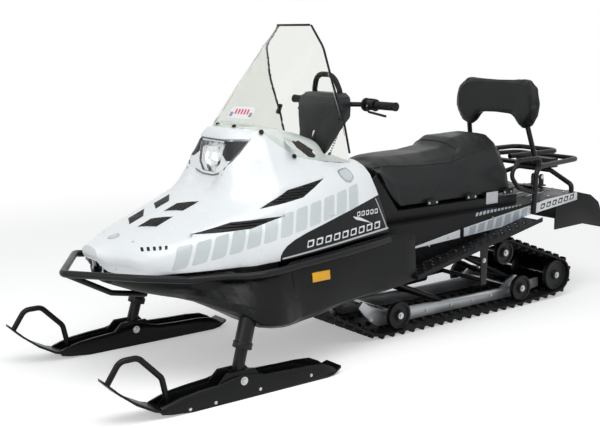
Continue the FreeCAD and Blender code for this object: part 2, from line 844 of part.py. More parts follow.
def belly_at(share):
    """The belly pan's chain of section points at any station between its rows."""
    chain = []
    rows = smooth_table(belly_shares, 2)
    for before, after in zip(rows, rows[1:]):
        if before[0] <= share <= after[0]:
            part = (share - before[0]) / (after[0] - before[0])
            pairs = zip(belly_chain(before), belly_chain(after))
            chain = [(lerp(a[0], b[0], part), lerp(a[1], b[1], part)) for a, b in pairs]
    return chain


def belly_side(share, z):
    """How far out the belly pan's side lies at a height."""
    chain = belly_at(share)
    for high, low in zip(chain, chain[1:]):
        if low[1] <= z <= high[1]:
            return lerp(high[0], low[0], (high[1] - z) / (high[1] - low[1]))
    return chain[0][0]


def rail_point(share):
    """The rub rail's centre, just outside the belly pan's side below its top edge."""
    z = belly_at(share)[0][1] - bumper_radius
    side = max(belly_side(share, z + rise * bumper_radius) for rise in (1, 0, -1))
    return side + bumper_radius + rail_stand_off, z


def make_bumper(belly):
    tip = V(bumper_tip_x, 0, bumper_tip_z)
    route = []
    for share in reversed(rail_station_shares):
        row_y, row_z = rail_point(share)
        route.append(V(belly_x(share), row_y, row_z))
    route.append(V(bumper_corner_x, bumper_corner_y, bumper_tip_z + bumper_radius * 0.5))
    loop = tube(both_sides(route + [tip]), bumper_radius, bumper_bend)
    keel = belly_at((belly_front - lower_tube_end_x) / belly_length)[-1]
    keel_z = keel[1]
    lower = tube(
        [
            tip - V(bumper_radius * 0.4, 0, 0),
            V(lower_tube_mid_x, 0, lower_tube_mid_z),
            V(lower_tube_end_x, 0, keel_z - lower_tube_radius * 1.3),
        ],
        lower_tube_radius, bumper_bend)
    studs = []
    for share in rail_stud_shares:
        row_y, row_z = rail_point(share)
        inner_y = belly_side(share, row_z) - belly_wall * 0.5
        for side in (1, -1):
            outer_end = V(belly_x(share), side * row_y, row_z)
            inner_end = V(belly_x(share), side * inner_y, row_z)
            studs.append(cylinder_between(outer_end, inner_end, rail_stud_radius).cut(belly))
    return fused([loop, lower] + studs)


def deck_z(x):
    """The height of the tunnel's top at a place along it."""
    if x > tunnel_kink_x:
        return lerp(tunnel_front_z, tunnel_kink_z, (x - tunnel_front_x) / (tunnel_kink_x - tunnel_front_x))
    return lerp(tunnel_kink_z, tunnel_rear_z, (x - tunnel_kink_x) / (tunnel_rear_x - tunnel_kink_x))


def board_front_x():
    return belly_x(1) - seat_gap


def make_tunnel():
    top = [
        V(tunnel_front_x, 0, tunnel_front_z),
        V(tunnel_kink_x, 0, tunnel_kink_z),
        V(tunnel_rear_x, 0, tunnel_rear_z),
    ]
    under = [p - V(0, 0, tunnel_wall) for p in reversed(top)]
    deck = closed_face(top + under)
    deck.translate(V(0, -tunnel_half_width, 0))
    deck = deck.extrude(V(0, 2 * tunnel_half_width, 0))
    low = [
        V(tunnel_rear_x, 0, tunnel_rear_z - tunnel_rear_drop),
        V(board_rear_x, 0, board_rear_z),
        V(board_front_x(), 0, board_front_z),
        V(tunnel_front_x, 0, tunnel_front_low_z),
    ]
    wall = closed_face(top + low)
    wall.translate(V(0, tunnel_half_width - tunnel_wall, 0))
    wall = wall.extrude(V(0, tunnel_wall, 0))
    return fused([deck, wall, mirrored(wall)] + deck_ribs())


def deck_ribs():
    """Embossed ribs along the rear deck, rounded over and run out at their ends."""
    front = tunnel_kink_x - deck_rib_margin
    rear = tunnel_rear_x + deck_rib_margin
    ribs = []
    for y in deck_rib_y:
        for side in (1, -1):
            wires = []
            full = (front - deck_rib_margin, rear + deck_rib_margin)
            for x, share in ((front, 0.1), (full[0], 1), (full[1], 1), (rear, 0.1)):
                half = deck_rib_half_width
                low = deck_z(x) - tunnel_wall / 2
                chain = [(-1, low), (-0.6, deck_z(x) + deck_rib_height * share * 0.8)]
                chain += [(0.6, deck_z(x) + deck_rib_height * share * 0.8), (1, low)]
                points = [V(x, side * y + place * half, z) for place, z in chain]
                wires.append(Part.makePolygon(points + [points[0]]))
            ribs.append(Part.makeLoft(wires, True, True))
    return ribs


def make_board(side):
    inner = tunnel_half_width
    rear = V(board_rear_x, inner, board_rear_z)
    front = V(board_front_x(), inner, board_front_z)
    down = V(0, 0, -board_thickness)
    strip = closed_face([rear, front, front + down, rear + down])
    board = strip.extrude(V(0, board_outer_y - inner, 0))
    lip = closed_face([rear, front, front + V(0, 0, board_lip), rear + V(0, 0, board_lip)])
    lip.translate(V(0, board_outer_y - inner - board_thickness, 0))
    board = board.fuse(lip.extrude(V(0, board_thickness, 0))).removeSplitter()
    return board if side > 0 else mirrored(board)


def make_engine(belly):
    floor_z = belly_at((belly_front - engine_front_x) / belly_length)[-1][1]
    low = V(engine_front_x - engine_length, -engine_width / 2, floor_z + belly_wall * 0.8)
    return box_between(low, low + V(engine_length, engine_width, engine_height)).cut(belly)


def make_seat():
    wires = []
    for station, bottom, top, narrow in seat_shares:
        x = lerp(seat_front_x, seat_rear_x, station)
        low = seat_bottom_z + bottom * seat_height
        high = seat_bottom_z + top * seat_height
        shoulder = lerp(low, high, 0.62)
        chain = [
            (0, high),
            (seat_half_width * narrow * 0.62, high),
            (seat_half_width * narrow, lerp(high, shoulder, 0.35)),
            (seat_half_width * lerp(narrow, 1, 0.72), lerp(low, high, 0.45)),
            (seat_half_width, low),
        ]
        wires.append(section_wire(x, chain))
    return Part.makeLoft(wires, True, True)


def make_seat_base():
    """Black side panels below the cushion, closed at the front by the wall that meets the hood."""
    rear_x = seat_rear_x - base_thickness * 4
    side = closed_face([
        V(base_front_x, 0, deck_z(base_front_x) + seat_gap),
        V(base_front_x, 0, lerp(deck_z(base_front_x), base_front_top_z, 0.80)),
        V(base_front_x - base_thickness * 9, 0, base_front_top_z - base_thickness * 3),
        V(seat_front_x - base_thickness * 14, 0, seat_bottom_z - seat_gap),
        V(rear_x, 0, seat_bottom_z - seat_gap),
        V(rear_x, 0, deck_z(rear_x) + seat_gap),
    ])
    side.translate(V(0, base_half_width - base_thickness, 0))
    wall = side.extrude(V(0, base_thickness, 0))
    top = box_between(
        V(rear_x, -base_half_width, seat_bottom_z - seat_gap - base_thickness),
        V(seat_front_x - base_thickness * 14, base_half_width, seat_bottom_z - seat_gap))
    return fused([wall, mirrored(wall), top])


def make_console():
    x0 = console_front_x
    rows = [(0.00, 0.00), (0.00, 0.42), (0.10, 1.00), (0.62, 0.92), (1.00, 0.50), (1.00, 0.00)]
    side = closed_face([V(x0 - a * console_depth, 0, console_bottom_z + b * console_height) for a, b in rows])
    side.translate(V(0, -console_half_width, 0))
    body = side.extrude(V(0, 2 * console_half_width, 0))
    floor_z = deck_z(x0 - console_depth) + seat_gap
    post_low = V(x0 - console_depth * 0.75, -console_half_width * 0.6, floor_z)
    post_high = V(x0 - console_depth * 0.35, console_half_width * 0.6, console_bottom_z + overrun)
    body = body.fuse(box_between(post_low, post_high))
    column = cylinder_between(on_column(-column_length - overrun), on_column(0), column_radius + moving_gap)
    bearing_low = on_column(-bearing_distance)
    bearing_high = on_column(-bearing_distance + bearing_length)
    bearing = cylinder_between(bearing_low, bearing_high, column_radius + moving_gap * 2)
    shaft = cylinder_between(on_column(-column_length), on_column(0), column_radius + running_gap)
    return body.cut(column).fuse(bearing.cut(shaft))


def steer_axis():
    rake = math.radians(steer_rake_deg)
    return V(-math.sin(rake), 0, math.cos(rake))


def on_column(distance):
    return V(steer_x, 0, steer_z) + steer_axis() * distance


def make_handlebar():
    route = [
        V(steer_x - bar_end_back, bar_end_y, steer_z),
        V(steer_x - bar_rise_back, bar_rise_y, steer_z),
        V(steer_x, bar_centre_y, steer_z),
    ]
    return tube(both_sides(route), bar_radius, bar_bend)


def bar_direction():
    return V(bar_rise_back - bar_end_back, bar_end_y - bar_rise_y, 0).normalize()


def on_bar(from_end, side):
    end = V(steer_x - bar_end_back, bar_end_y, steer_z) - bar_direction() * from_end
    return V(end.x, side * end.y, end.z)


def make_grips():
    solids = []
    for side in (1, -1):
        grip = cylinder_between(on_bar(grip_length, side), on_bar(-bar_radius * 0.4, side), grip_radius)
        core = cylinder_between(on_bar(grip_length + overrun, side), on_bar(0, side), bar_radius)
        solids.append(grip.cut(core))
    return Part.makeCompound(solids)


def make_controls():
    solids = []
    for side in (1, -1):
        inner = on_bar(grip_length + control_length, side)
        outer = on_bar(grip_length + seat_gap, side)
        block = cylinder_between(inner, outer, control_radius)
        core_start = on_bar(grip_length + control_length + overrun, side)
        core = cylinder_between(core_start, on_bar(grip_length - overrun, side), bar_radius)
        root = inner + V(control_radius * 0.4, side * control_length * 0.45, -control_radius * 0.6)
        knee = inner + V(lever_forward, side * control_length * 0.75, -lever_drop * 0.8)
        tip = knee + V(-lever_forward * 0.75, side * lever_reach, -lever_drop * 0.5)
        lever = tube([root, knee, tip], lever_radius, bar_bend)
        solids.append(block.fuse(lever).cut(core))
    return Part.makeCompound(solids)


def make_grab_loop(bar):
    foot = V(steer_x, bar_centre_y * 0.8, steer_z)
    route = [
        foot,
        V(steer_x + loop_radius, loop_y, steer_z + loop_top_rise * 0.35),
        V(steer_x + loop_radius * 2, loop_y * 0.60, steer_z + loop_top_rise),
    ]
    return tube(both_sides(route), loop_radius, loop_bend).cut(bar)


def pad_prisms(margin):
    """The cover's form as its side view and front view, each run through the other."""
    low_z = steer_z + pad_rise - pad_height
    side = []
    for depth, height in pad_side_shares:
        side.append(V(steer_x + pad_forward - depth * pad_depth, 0, low_z + height * pad_height))
    front = []
    for width, height in pad_front_shares:
        front.append(V(steer_x - pad_depth, width * pad_half_width, low_z + height * pad_height))
    front += [V(p.x, -p.y, p.z) for p in reversed(front)]
    profile = narrowed(closed_face(side), margin)
    profile.translate(V(0, -2 * pad_half_width, 0))
    across = narrowed(closed_face(front), margin)
    return profile.extrude(V(0, 4 * pad_half_width, 0)).common(across.extrude(V(3 * pad_depth, 0, 0)))


def make_pad(loop):
    outer = pad_prisms(0)
    inner = pad_prisms(pad_wall)
    opened = inner.copy()
    opened.translate(V(-pad_wall * 3, 0, -pad_wall))
    column = cylinder_between(on_column(-column_length), on_column(0), column_radius + moving_gap)
    return outer.cut(inner).cut(opened).cut(loop).cut(column)


def make_tether():
    """The curly cord's outer form, as one fat cord; its clip is a piece of its own."""
    return tube([V(*point) for point in tether_points], tether_radius, bar_bend)


def make_tether_clip():
    before = V(*tether_points[-2])
    end = V(*tether_points[-1])
    along = (end - before).normalize()
    start = end + along * seat_gap
    return cylinder_between(start, start + along * tether_clip_length, tether_clip_radius)


def make_column():
    stem = cylinder_between(on_column(-column_length), on_column(-bar_radius), column_radius)
    clamp_half = bar_centre_y * 0.5
    clamp = box_between(
        V(steer_x - bar_radius * 1.6, -clamp_half, steer_z - bar_radius * 1.8),
        V(steer_x + bar_radius * 1.6, clamp_half, steer_z + bar_radius * 1.5))
    core = cylinder_between(V(steer_x, -bar_centre_y, steer_z), V(steer_x, bar_centre_y, steer_z), bar_radius)
    return fused([stem, clamp]).cut(core)


def make_backrest():
    points = [V(0, y * rest_half_width, rest_bottom_z + z * rest_height) for y, z in rest_outline_shares]
    points += [V(0, -p.y, p.z) for p in reversed(points) if p.y > 0]
    face = closed_face(points)
    face.translate(V(rest_x - rest_thickness / 2, 0, 0))
    return face.extrude(V(rest_thickness, 0, 0))


def make_posts(rest, rack):
    solids = []
    for side in (1, -1):
        foot = V(post_foot_x, side * post_foot_y, rack_rail_z)
        top = V(rest_x, side * post_y, rest_bottom_z + overrun)
        solids.append(cylinder_between(foot, top, post_radius).cut(rest).cut(rack))
    return Part.makeCompound(solids)


def rack_front_y():
    return tunnel_half_width + rack_radius + seat_gap


def make_rack():
    rail = tube(
        both_sides([
            V(rack_front_x, rack_front_y(), rack_foot_z),
            V(rack_front_x - rack_radius, rack_front_y(), rack_rail_z),
            V(rack_rear_x, rack_rear_y, rack_rail_z),
        ]),
        rack_radius, rack_bend)
    cross_y = lerp(rack_front_y(), rack_rear_y, (post_foot_x - rack_front_x) / (rack_rear_x - rack_front_x))
    cross = cylinder_between(
        V(post_foot_x, -cross_y, rack_rail_z), V(post_foot_x, cross_y, rack_rail_z), rack_radius)
    legs = tube(
        both_sides([
            V(rear_leg_foot_x, rear_leg_foot_y, deck_z(rear_leg_foot_x - rack_radius) + seat_gap),
            V(rear_leg_foot_x, rear_leg_foot_y, deck_z(rear_leg_foot_x) + rack_radius * 3),
            V(rear_leg_foot_x - rack_radius, rear_leg_top_y, rear_leg_top_z()),
        ]),
        rack_radius, rack_bend)
    return Part.makeCompound([fused([rail, cross]), legs])


def make_hoop():
    z = rack_rail_z + hoop_rise
    hoop = tube(
        both_sides([
            V(hoop_front_x, hoop_half_width, z),
            V(hoop_rear_x, hoop_half_width, z),
        ]),
        rack_radius, rack_bend)
    studs = []
    for side in (1, -1):
        foot = V(post_foot_x, side * hoop_half_width, rack_rail_z + rack_radius + seat_gap)
        studs.append(cylinder_between(foot, V(foot.x, foot.y, z), rack_radius * 0.6))
    return fused([hoop] + studs)


def make_handles(rack):
    solids = []
    leg_x = rack_front_x - rack_radius
    top_y = lerp(rack_front_y(), rack_rear_y, (handle_top_x - leg_x) / (rack_rear_x - leg_x))
    grip_z = rack_rail_z + hoop_rise
    for side in (1, -1):
        y = side * rack_front_y()
        handle = tube(
            [
                V(handle_top_x, side * top_y, rack_rail_z),
                V(handle_top_x, side * top_y, grip_z),
                V(lerp(handle_top_x, handle_front_x, 0.75), y, grip_z),
                V(handle_front_x, y, handle_front_z),
                V(lerp(handle_front_x, rack_front_x, 0.35), y, handle_bottom_z + handle_radius * 3),
                V(rack_front_x, y, handle_bottom_z),
            ],
            handle_radius, handle_bend)
        solids.append(handle.cut(rack))
    return Part.makeCompound(solids)


def make_tail_lamp():
    """A housing that stands on the rear hoop, with its lens let into the rear face."""
    base_z = rear_leg_top_z() + rack_radius + seat_gap
    low = V(rear_leg_foot_x - rack_radius - tail_lamp_depth * 0.75, -tail_lamp_width / 2, base_z)
    housing = box_between(low, low + V(tail_lamp_depth, tail_lamp_width, tail_lamp_height))
    rim = tail_lamp_height * 0.12
    recess_low = low + V(-overrun, rim, rim)
    recess = box_between(recess_low, low + V(rim * 0.5, tail_lamp_width - rim, tail_lamp_height - rim))
    return housing.cut(recess)


def rear_leg_top_z():
    return rack_rail_z - rack_radius * 5


def make_hitch():
    """A base plate on the deck's rear edge with two upright cheeks, bored across for a drawbar pin."""
    rear_x = tunnel_rear_x - hitch_behind
    base_low = V(rear_x, -hitch_base_width / 2, tunnel_rear_z + seat_gap)
    base = box_between(base_low, base_low + V(hitch_base_length, hitch_base_width, hitch_plate))
    cheeks = []
    round_radius = hitch_cheek_length / 2
    round_x = rear_x + round_radius
    round_z = base_low.z + hitch_plate + hitch_cheek_rise - round_radius
    for inner_y in (hitch_gap / 2, -hitch_gap / 2 - hitch_plate):
        cheek = box_between(
            V(rear_x, inner_y, base_low.z), V(rear_x + hitch_cheek_length, inner_y + hitch_plate, round_z))
        cap_low = V(round_x, inner_y, round_z)
        cap = cylinder_between(cap_low, cap_low + V(0, hitch_plate, 0), round_radius)
        cheeks += [cheek, cap]
    bore = cylinder_between(
        V(round_x, -hitch_base_width, round_z), V(round_x, hitch_base_width, round_z), hitch_bore_radius)
    return fused([base] + cheeks).cut(bore)


def make_flap():
    """A curved rubber sheet behind the tunnel with skirts that lie inside the tunnel's walls."""
    start = V(tunnel_rear_x - seat_gap, 0, tunnel_rear_z)
    upper = [start + V(-x * flap_reach, 0, -z * flap_drop) for x, z in flap_outline_shares]
    lower = [p + V(-flap_thickness * 0.2, 0, -flap_thickness) for p in reversed(upper)]
    half = tunnel_half_width - tunnel_wall - seat_gap
    sheet = closed_face(upper + lower)
    sheet.translate(V(0, -half, 0))
    sheet = sheet.extrude(V(0, 2 * half, 0))
    deck_side_z = deck_z(flap_skirt_front_x) - tunnel_wall - seat_gap
    skirt = closed_face(upper + [
        V(lerp(tunnel_rear_x, start.x - flap_reach, 0.28), 0, flap_skirt_low_z + flap_thickness),
        V(flap_skirt_front_x, 0, flap_skirt_low_z),
        V(flap_skirt_front_x, 0, deck_side_z),
        V(tunnel_rear_x, 0, tunnel_rear_z - tunnel_wall - seat_gap),
    ])
    skirt.translate(V(0, half - flap_thickness, 0))
    skirt = skirt.extrude(V(0, flap_thickness, 0))
    return fused([sheet, skirt, mirrored(skirt)])


# Track: the loop that the wheels, rails and drive sprockets hold, as circles in the side view


def loop_circles(extra):
    bottom = lug_height + track_belt
    return [
        (drive_x, drive_z, drive_radius + extra),
        (carrier_x, carrier_z, carrier_radius + extra),
        (idler_x, idler_z, idler_radius + extra),
        (middle_bogie_x, bottom + bogie_radius, bogie_radius + extra),
        (front_bend_x, bottom + front_bend_radius, front_bend_radius + extra),
    ]


def loop_wire(extra):
    """The closed run round the circles, as tangent lines and arcs, going back along the top."""
    circles = loop_circles(extra)
    leave = []
    reach = []
    for index, (x1, z1, r1) in enumerate(circles):
        x2, z2, r2 = circles[(index + 1) % len(circles)]
        heading = math.atan2(z2 - z1, x2 - x1)
        apart = math.hypot(x2 - x1, z2 - z1)
        side = heading - math.acos((r1 - r2) / apart)
        leave.append(V(x1 + r1 * math.cos(side), 0, z1 + r1 * math.sin(side)))
        reach.append(V(x2 + r2 * math.cos(side), 0, z2 + r2 * math.sin(side)))
    edges = []
    for index, (x, z, r) in enumerate(circles):
        came = reach[index - 1]
        went = leave[index]
        middle = (came + went) * 0.5 - V(x, 0, z)
        edges.append(Part.Arc(came, V(x, 0, z) + middle.normalize() * r, went).toShape())
        edges.append(Part.LineSegment(went, reach[index]).toShape())
    return Part.Wire(edges)


def make_track():
    inner = loop_wire(0)
    root = loop_wire(track_belt)
    count = round(root.Length / lug_pitch)
    steps = 8
    points = root.discretize(count * steps + 1)[:-1]
    outline = []
    for index, point in enumerate(points):
        ahead = points[(index + 1) % len(points)]
        back = points[index - 1]
        along = (ahead - back).normalize()
        outward = V(along.z, 0, -along.x)
        place = index % steps
        pitch = root.Length / count
        if place == 0:
            tip = point + outward * lug_height
            outline.append(point - along * (pitch * lug_base_share / 2))
            outline.append(tip - along * (pitch * lug_tip_share / 2))
            outline.append(tip + along * (pitch * lug_tip_share / 2))
            outline.append(point + along * (pitch * lug_base_share / 2))
        elif place == steps // 2:
            outline.append(point)
    outer_face = closed_face(outline)
    inner_face = Part.Face(inner)
    ring = outer_face.cut(inner_face)
    ring.translate(V(0, -track_half_width, 0))
    return ring.extrude(V(0, 2 * track_half_width, 0)), count


def wheel(x, z, radius, y):
    disc = cylinder_between(V(x, y - wheel_width / 2, z), V(x, y + wheel_width / 2, z), radius - seat_gap)
    hub_half = V(0, wheel_hub_length / 2, 0)
    hub = cylinder_between(V(x, y, z) - hub_half, V(x, y, z) + hub_half, wheel_hub_radius)
    rim = cylinder_between(V(x, y - wheel_width, z), V(x, y + wheel_width, z), radius * 0.80)
    core = cylinder_between(
        V(x, y - wheel_width * 0.22, z), V(x, y + wheel_width * 0.22, z), radius)
    dish = disc.cut(rim.cut(core))
    bore = cylinder_between(V(x, y - wheel_width * 2, z), V(x, y + wheel_width * 2, z), axle_radius)
    return dish.fuse(hub).cut(bore)


def make_bogies():
    wheels = []
    for x in (front_bogie_x, middle_bogie_x):
        for y in (-wheel_y, wheel_y):
            wheels.append(wheel(x, bogie_z, bogie_radius, y))
    for y in (-wheel_y, wheel_y):
        wheels.append(wheel(carrier_x, carrier_z, carrier_radius, y))
    return Part.makeCompound(wheels)


def make_idlers():
    return Part.makeCompound([wheel(idler_x, idler_z, idler_radius, y) for y in (-wheel_y, 0, wheel_y)])


def make_axles():
    half = wheel_y + wheel_hub_length / 2
    places = [(front_bogie_x, bogie_z), (middle_bogie_x, bogie_z), (idler_x, idler_z), (carrier_x, carrier_z)]
    return Part.makeCompound([cylinder_between(V(x, -half, z), V(x, half, z), axle_radius) for x, z in places])


def rail_bottom_z():
    return lug_height + track_belt + seat_gap


def make_rails():
    points = []
    for x, z in rail_outline_shares:
        points.append(V(lerp(rail_front_x, rail_rear_x, x), 0, rail_bottom_z() + z * rail_height))
    face = closed_face(points)
    rails = []
    for y in (-rail_y, rail_y):
        slab = face.copy()
        slab.translate(V(0, y - rail_thickness / 2, 0))
        slab = slab.extrude(V(0, rail_thickness, 0))
        for x, z in ((front_bogie_x, bogie_z), (middle_bogie_x, bogie_z)):
            slab = slab.cut(cylinder_between(V(x, y - rail_y, z), V(x, y + rail_y, z), axle_radius))
        rails.append(slab)
    return Part.makeCompound(rails)


def make_drive():
    half = tunnel_half_width - tunnel_wall - seat_gap
    shaft = cylinder_between(V(drive_x, -half, drive_z), V(drive_x, half, drive_z), axle_radius * 1.3)
    wheels = []
    for y in (-rail_y * 0.7, rail_y * 0.7):
        low = V(drive_x, y - wheel_width, drive_z)
        wheels.append(cylinder_between(low, low + V(0, 2 * wheel_width, 0), drive_radius - seat_gap))
    return fused([shaft] + wheels)


def make_arms():
    solids = []
    low_z = rail_bottom_z() + rail_height
    eye_z = rail_bottom_z() + rail_height * 1.55
    wall_y = tunnel_half_width - tunnel_wall - seat_gap
    bracket_y = wall_y - arm_bracket_thickness
    arm_y = rail_y - rail_thickness / 2 - arm_radius - seat_gap
    for y in (-arm_y, arm_y):
        solids.append(cylinder_between(
            V(front_arm_low_x, y, low_z), V(front_arm_high_x, y, front_arm_high_z), arm_radius))
        solids.append(cylinder_between(
            V(rear_arm_low_x, y, eye_z), V(rear_arm_high_x, y, rear_arm_high_z), arm_radius))
    for x, z, half in (
            (front_arm_high_x, front_arm_high_z, wall_y),
            (rear_arm_high_x, rear_arm_high_z, wall_y),
            (rear_arm_high_x, damper_rear_z, wall_y),
            (damper_front_x, front_arm_z(damper_front_x), arm_y),
            (front_arm_low_x, low_z, arm_y),
            (rear_arm_low_x, eye_z, arm_y)):
        solids.append(cylinder_between(V(x, -half, z), V(x, half, z), arm_cross_radius))
    bracket = closed_face([
        V(rear_arm_high_x - arm_bracket_width / 2, bracket_y, deck_z(rear_arm_high_x) - arm_bracket_width),
        V(rear_arm_high_x + arm_bracket_width / 2, bracket_y, deck_z(rear_arm_high_x) - arm_bracket_width),
        V(rear_arm_high_x + arm_radius * 1.4, bracket_y, damper_rear_z - arm_radius * 1.4),
        V(rear_arm_high_x - arm_radius * 1.4, bracket_y, damper_rear_z - arm_radius * 1.4),
    ]).extrude(V(0, arm_bracket_thickness, 0))
    return fused(solids + [bracket, mirrored(bracket)])


def front_arm_z(x):
    low_z = rail_bottom_z() + rail_height
    return lerp(low_z, front_arm_high_z, (x - front_arm_low_x) / (front_arm_high_x - front_arm_low_x))


def make_damper():
    low = V(damper_front_x, 0, front_arm_z(damper_front_x))
    high = V(rear_arm_high_x, 0, damper_rear_z)
    along = (high - low).normalize()
    inset = along * (arm_cross_radius + seat_gap)
    step = (high - low) * damper_body_share
    body = cylinder_between(low + inset, low + step, damper_radius)
    rod = cylinder_between(low + step, high - inset, damper_rod_radius)
    return body.fuse(rod)


def make_reflectors():
    """An oblong amber lens let into each belly side; its back follows the hull's own side."""
    low = V(reflector_x, hood_half_width * 0.9, reflector_z)
    block = box_between(low, low + V(reflector_length, hood_half_width * 0.2, reflector_height))
    solids = []
    for side in (1, -1):
        wires = []
        rows = [row for row in smooth_table(belly_shares, 2) if 0.35 < row[0] < 0.95]
        for row in rows:
            chain = inset_chain(list(reversed(belly_chain(row))), reflector_depth)
            chain.reverse()
            wires.append(section_wire(belly_x(row[0]), chain))
        swollen = Part.makeLoft(wires, True, True)
        wires = [section_wire(belly_x(row[0]), belly_chain(row)) for row in rows]
        hull = Part.makeLoft(wires, True, True)
        solids.append((block if side > 0 else mirrored(block)).common(swollen).cut(hull))
    return Part.makeCompound(solids)


# Build every piece

hull = hood_solid(0)
blank = hood_blank()
track, lug_count = make_track()
rest = make_backrest()
rack = make_rack()
belly = make_belly()
bar = make_handlebar()
loop = make_grab_loop(bar)
pieces = {
    "belly_pan": belly,
    "hood_hinge": make_hinge_brackets(),
    "bumper": make_bumper(belly),
    "tunnel": make_tunnel(),
    "running_board_left": make_board(1),
    "running_board_right": make_board(-1),
    "engine_block": make_engine(belly),
    "strut_sleeve_left": make_sleeve(1),
    "strut_sleeve_right": make_sleeve(-1),
    "console": make_console(),
    "seat_base": make_seat_base(),
    "seat_cushion": make_seat(),
    "backrest_cushion": rest,
    "backrest_posts": make_posts(rest, rack),
    "rack": rack,
    "rack_hoop": make_hoop(),
    "grab_handles": make_handles(rack),
    "tail_lamp": make_tail_lamp(),
    "tow_hitch": make_hitch(),
    "snow_flap": make_flap(),
    "track": track,
    "slide_rails": make_rails(),
    "bogie_wheels": make_bogies(),
    "idler_wheels": make_idlers(),
    "wheel_axles": make_axles(),
    "drive_axle": make_drive(),
    "suspension_arms": make_arms(),
    "damper": make_damper(),
    "side_reflectors": make_reflectors(),
    "hood": make_hood(hull, blank),
    "hood_vents": make_vents(blank),
    "headlamp": make_lamp(blank),
    "windshield": make_shield(hull),
    "windshield_trim": make_shield_trim(),
    "handlebar": bar,
    "grips": make_grips(),
    "hand_controls": make_controls(),
    "grab_loop": loop,
    "bar_pad": make_pad(loop),
    "tether_cord": make_tether(),
    "tether_clip": make_tether_clip(),
    "steering_column": make_column(),
    "ski_leg_left": make_leg(1),
    "ski_leg_right": make_leg(-1),
    "ski_left": make_ski(1),
    "ski_right": make_ski(-1),
}

# Stand the machine over its origin and write one file per piece

rear_end = min(shape.BoundBox.XMin for shape in pieces.values())
front_end = max(shape.BoundBox.XMax for shape in pieces.values())
middle_x = (rear_end + front_end) / 2

os.makedirs("parts", exist_ok=True)
for name, shape in pieces.items():
    shape.translate(V(-middle_x, 0, 0))
    shape.exportStep("parts/" + name + ".step")
print("middle_x", middle_x, "lugs", lug_count)
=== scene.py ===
import json
import math

import bmesh
import bpy
from mathutils import Matrix, Vector
from mathutils.bvhtree import BVHTree

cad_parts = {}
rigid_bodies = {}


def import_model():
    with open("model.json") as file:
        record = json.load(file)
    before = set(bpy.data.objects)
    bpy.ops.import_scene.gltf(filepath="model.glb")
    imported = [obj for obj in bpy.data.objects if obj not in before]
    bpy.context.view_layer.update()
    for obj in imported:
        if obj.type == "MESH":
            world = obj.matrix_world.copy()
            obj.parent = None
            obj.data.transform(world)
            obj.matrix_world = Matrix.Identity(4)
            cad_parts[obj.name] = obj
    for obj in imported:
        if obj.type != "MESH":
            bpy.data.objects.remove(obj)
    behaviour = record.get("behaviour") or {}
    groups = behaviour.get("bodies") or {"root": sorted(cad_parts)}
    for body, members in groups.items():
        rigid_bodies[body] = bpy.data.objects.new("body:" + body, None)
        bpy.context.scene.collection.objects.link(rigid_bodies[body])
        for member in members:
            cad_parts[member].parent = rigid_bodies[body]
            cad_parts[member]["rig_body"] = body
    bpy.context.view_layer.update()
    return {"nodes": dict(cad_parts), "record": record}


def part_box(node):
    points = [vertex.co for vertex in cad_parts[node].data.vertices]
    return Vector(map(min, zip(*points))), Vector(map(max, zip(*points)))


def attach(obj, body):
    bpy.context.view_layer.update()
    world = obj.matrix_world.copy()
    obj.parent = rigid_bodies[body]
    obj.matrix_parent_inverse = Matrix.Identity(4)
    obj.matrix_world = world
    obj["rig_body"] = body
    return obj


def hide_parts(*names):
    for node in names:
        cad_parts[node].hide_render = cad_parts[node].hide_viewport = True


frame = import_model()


# The camera stands at the rider's front left and looks slightly down, as the photograph was taken.
# Its place, aim and focal length were worked out from the skis, the track and pairs of like points.
camera_place = Vector((3.13655, 3.825, 1.4542))
camera_azimuth = math.radians(53.51)
camera_fall = math.radians(10.17)
camera_roll = math.radians(-0.44)
camera_focal_pixels = 1043.3
picture_width_pixels = 600


def laid(name, data):
    """A new object in the scene, at the origin."""
    made = bpy.data.objects.new(name, data)
    bpy.context.scene.collection.objects.link(made)
    return made


sight = Vector((
    -math.cos(camera_azimuth) * math.cos(camera_fall),
    -math.sin(camera_azimuth) * math.cos(camera_fall),
    -math.sin(camera_fall)))
level_right = sight.cross(Vector((0, 0, 1))).normalized()
level_up = level_right.cross(sight)
camera_right = level_right * math.cos(camera_roll) + level_up * math.sin(camera_roll)
camera_up = level_up * math.cos(camera_roll) - level_right * math.sin(camera_roll)
camera = laid("camera", bpy.data.cameras.new("camera"))
camera.data.sensor_width = 36
camera.data.lens = camera.data.sensor_width * camera_focal_pixels / picture_width_pixels
camera.data.clip_end = 60
turn = Matrix((camera_right, camera_up, -sight)).transposed().to_4x4()
camera.matrix_world = Matrix.Translation(camera_place) @ turn
bpy.context.scene.camera = camera
bpy.context.scene.view_settings.view_transform = "Standard"


# The stop-switch tether: a thin coiled cord of polyurethane, dark and slightly glossy.
# It is wound at the works, so its turns lie as an even helix along the route in which it hangs.
tether_route = (
    (0.16685, 0.1277, 1.0270), (0.17285, 0.1340, 1.0060), (0.19085, 0.1340, 0.9810),
    (0.20785, 0.1310, 0.9440), (0.22585, 0.1280, 0.9120))
tether_wire = 0.0026
tether_turn_radius = 0.0046
tether_turns = 13
points_a_turn = 12
weld_reach = 0.00002
flat_degrees = 0.8


def linear(code):
    """An sRGB hex colour as the linear values that Blender's sockets hold."""
    parts = [int(code[i:i + 2], 16) / 255 for i in (1, 3, 5)]
    return tuple(c / 12.92 if c <= 0.04045 else ((c + 0.055) / 1.055) ** 2.4 for c in parts) + (1,)


def add_node(tree, kind, links=None, **settings):
    """One node: inputs are set by name or number, links give the sockets that feed them."""
    made = tree.nodes.new(kind)
    inputs = settings.pop("inputs", {})
    for key, value in settings.items():
        setattr(made, key, value)
    for key, value in inputs.items():
        made.inputs[key].default_value = value
    for key, socket in (links or {}).items():
        tree.links.new(socket, made.inputs[key])
    return made


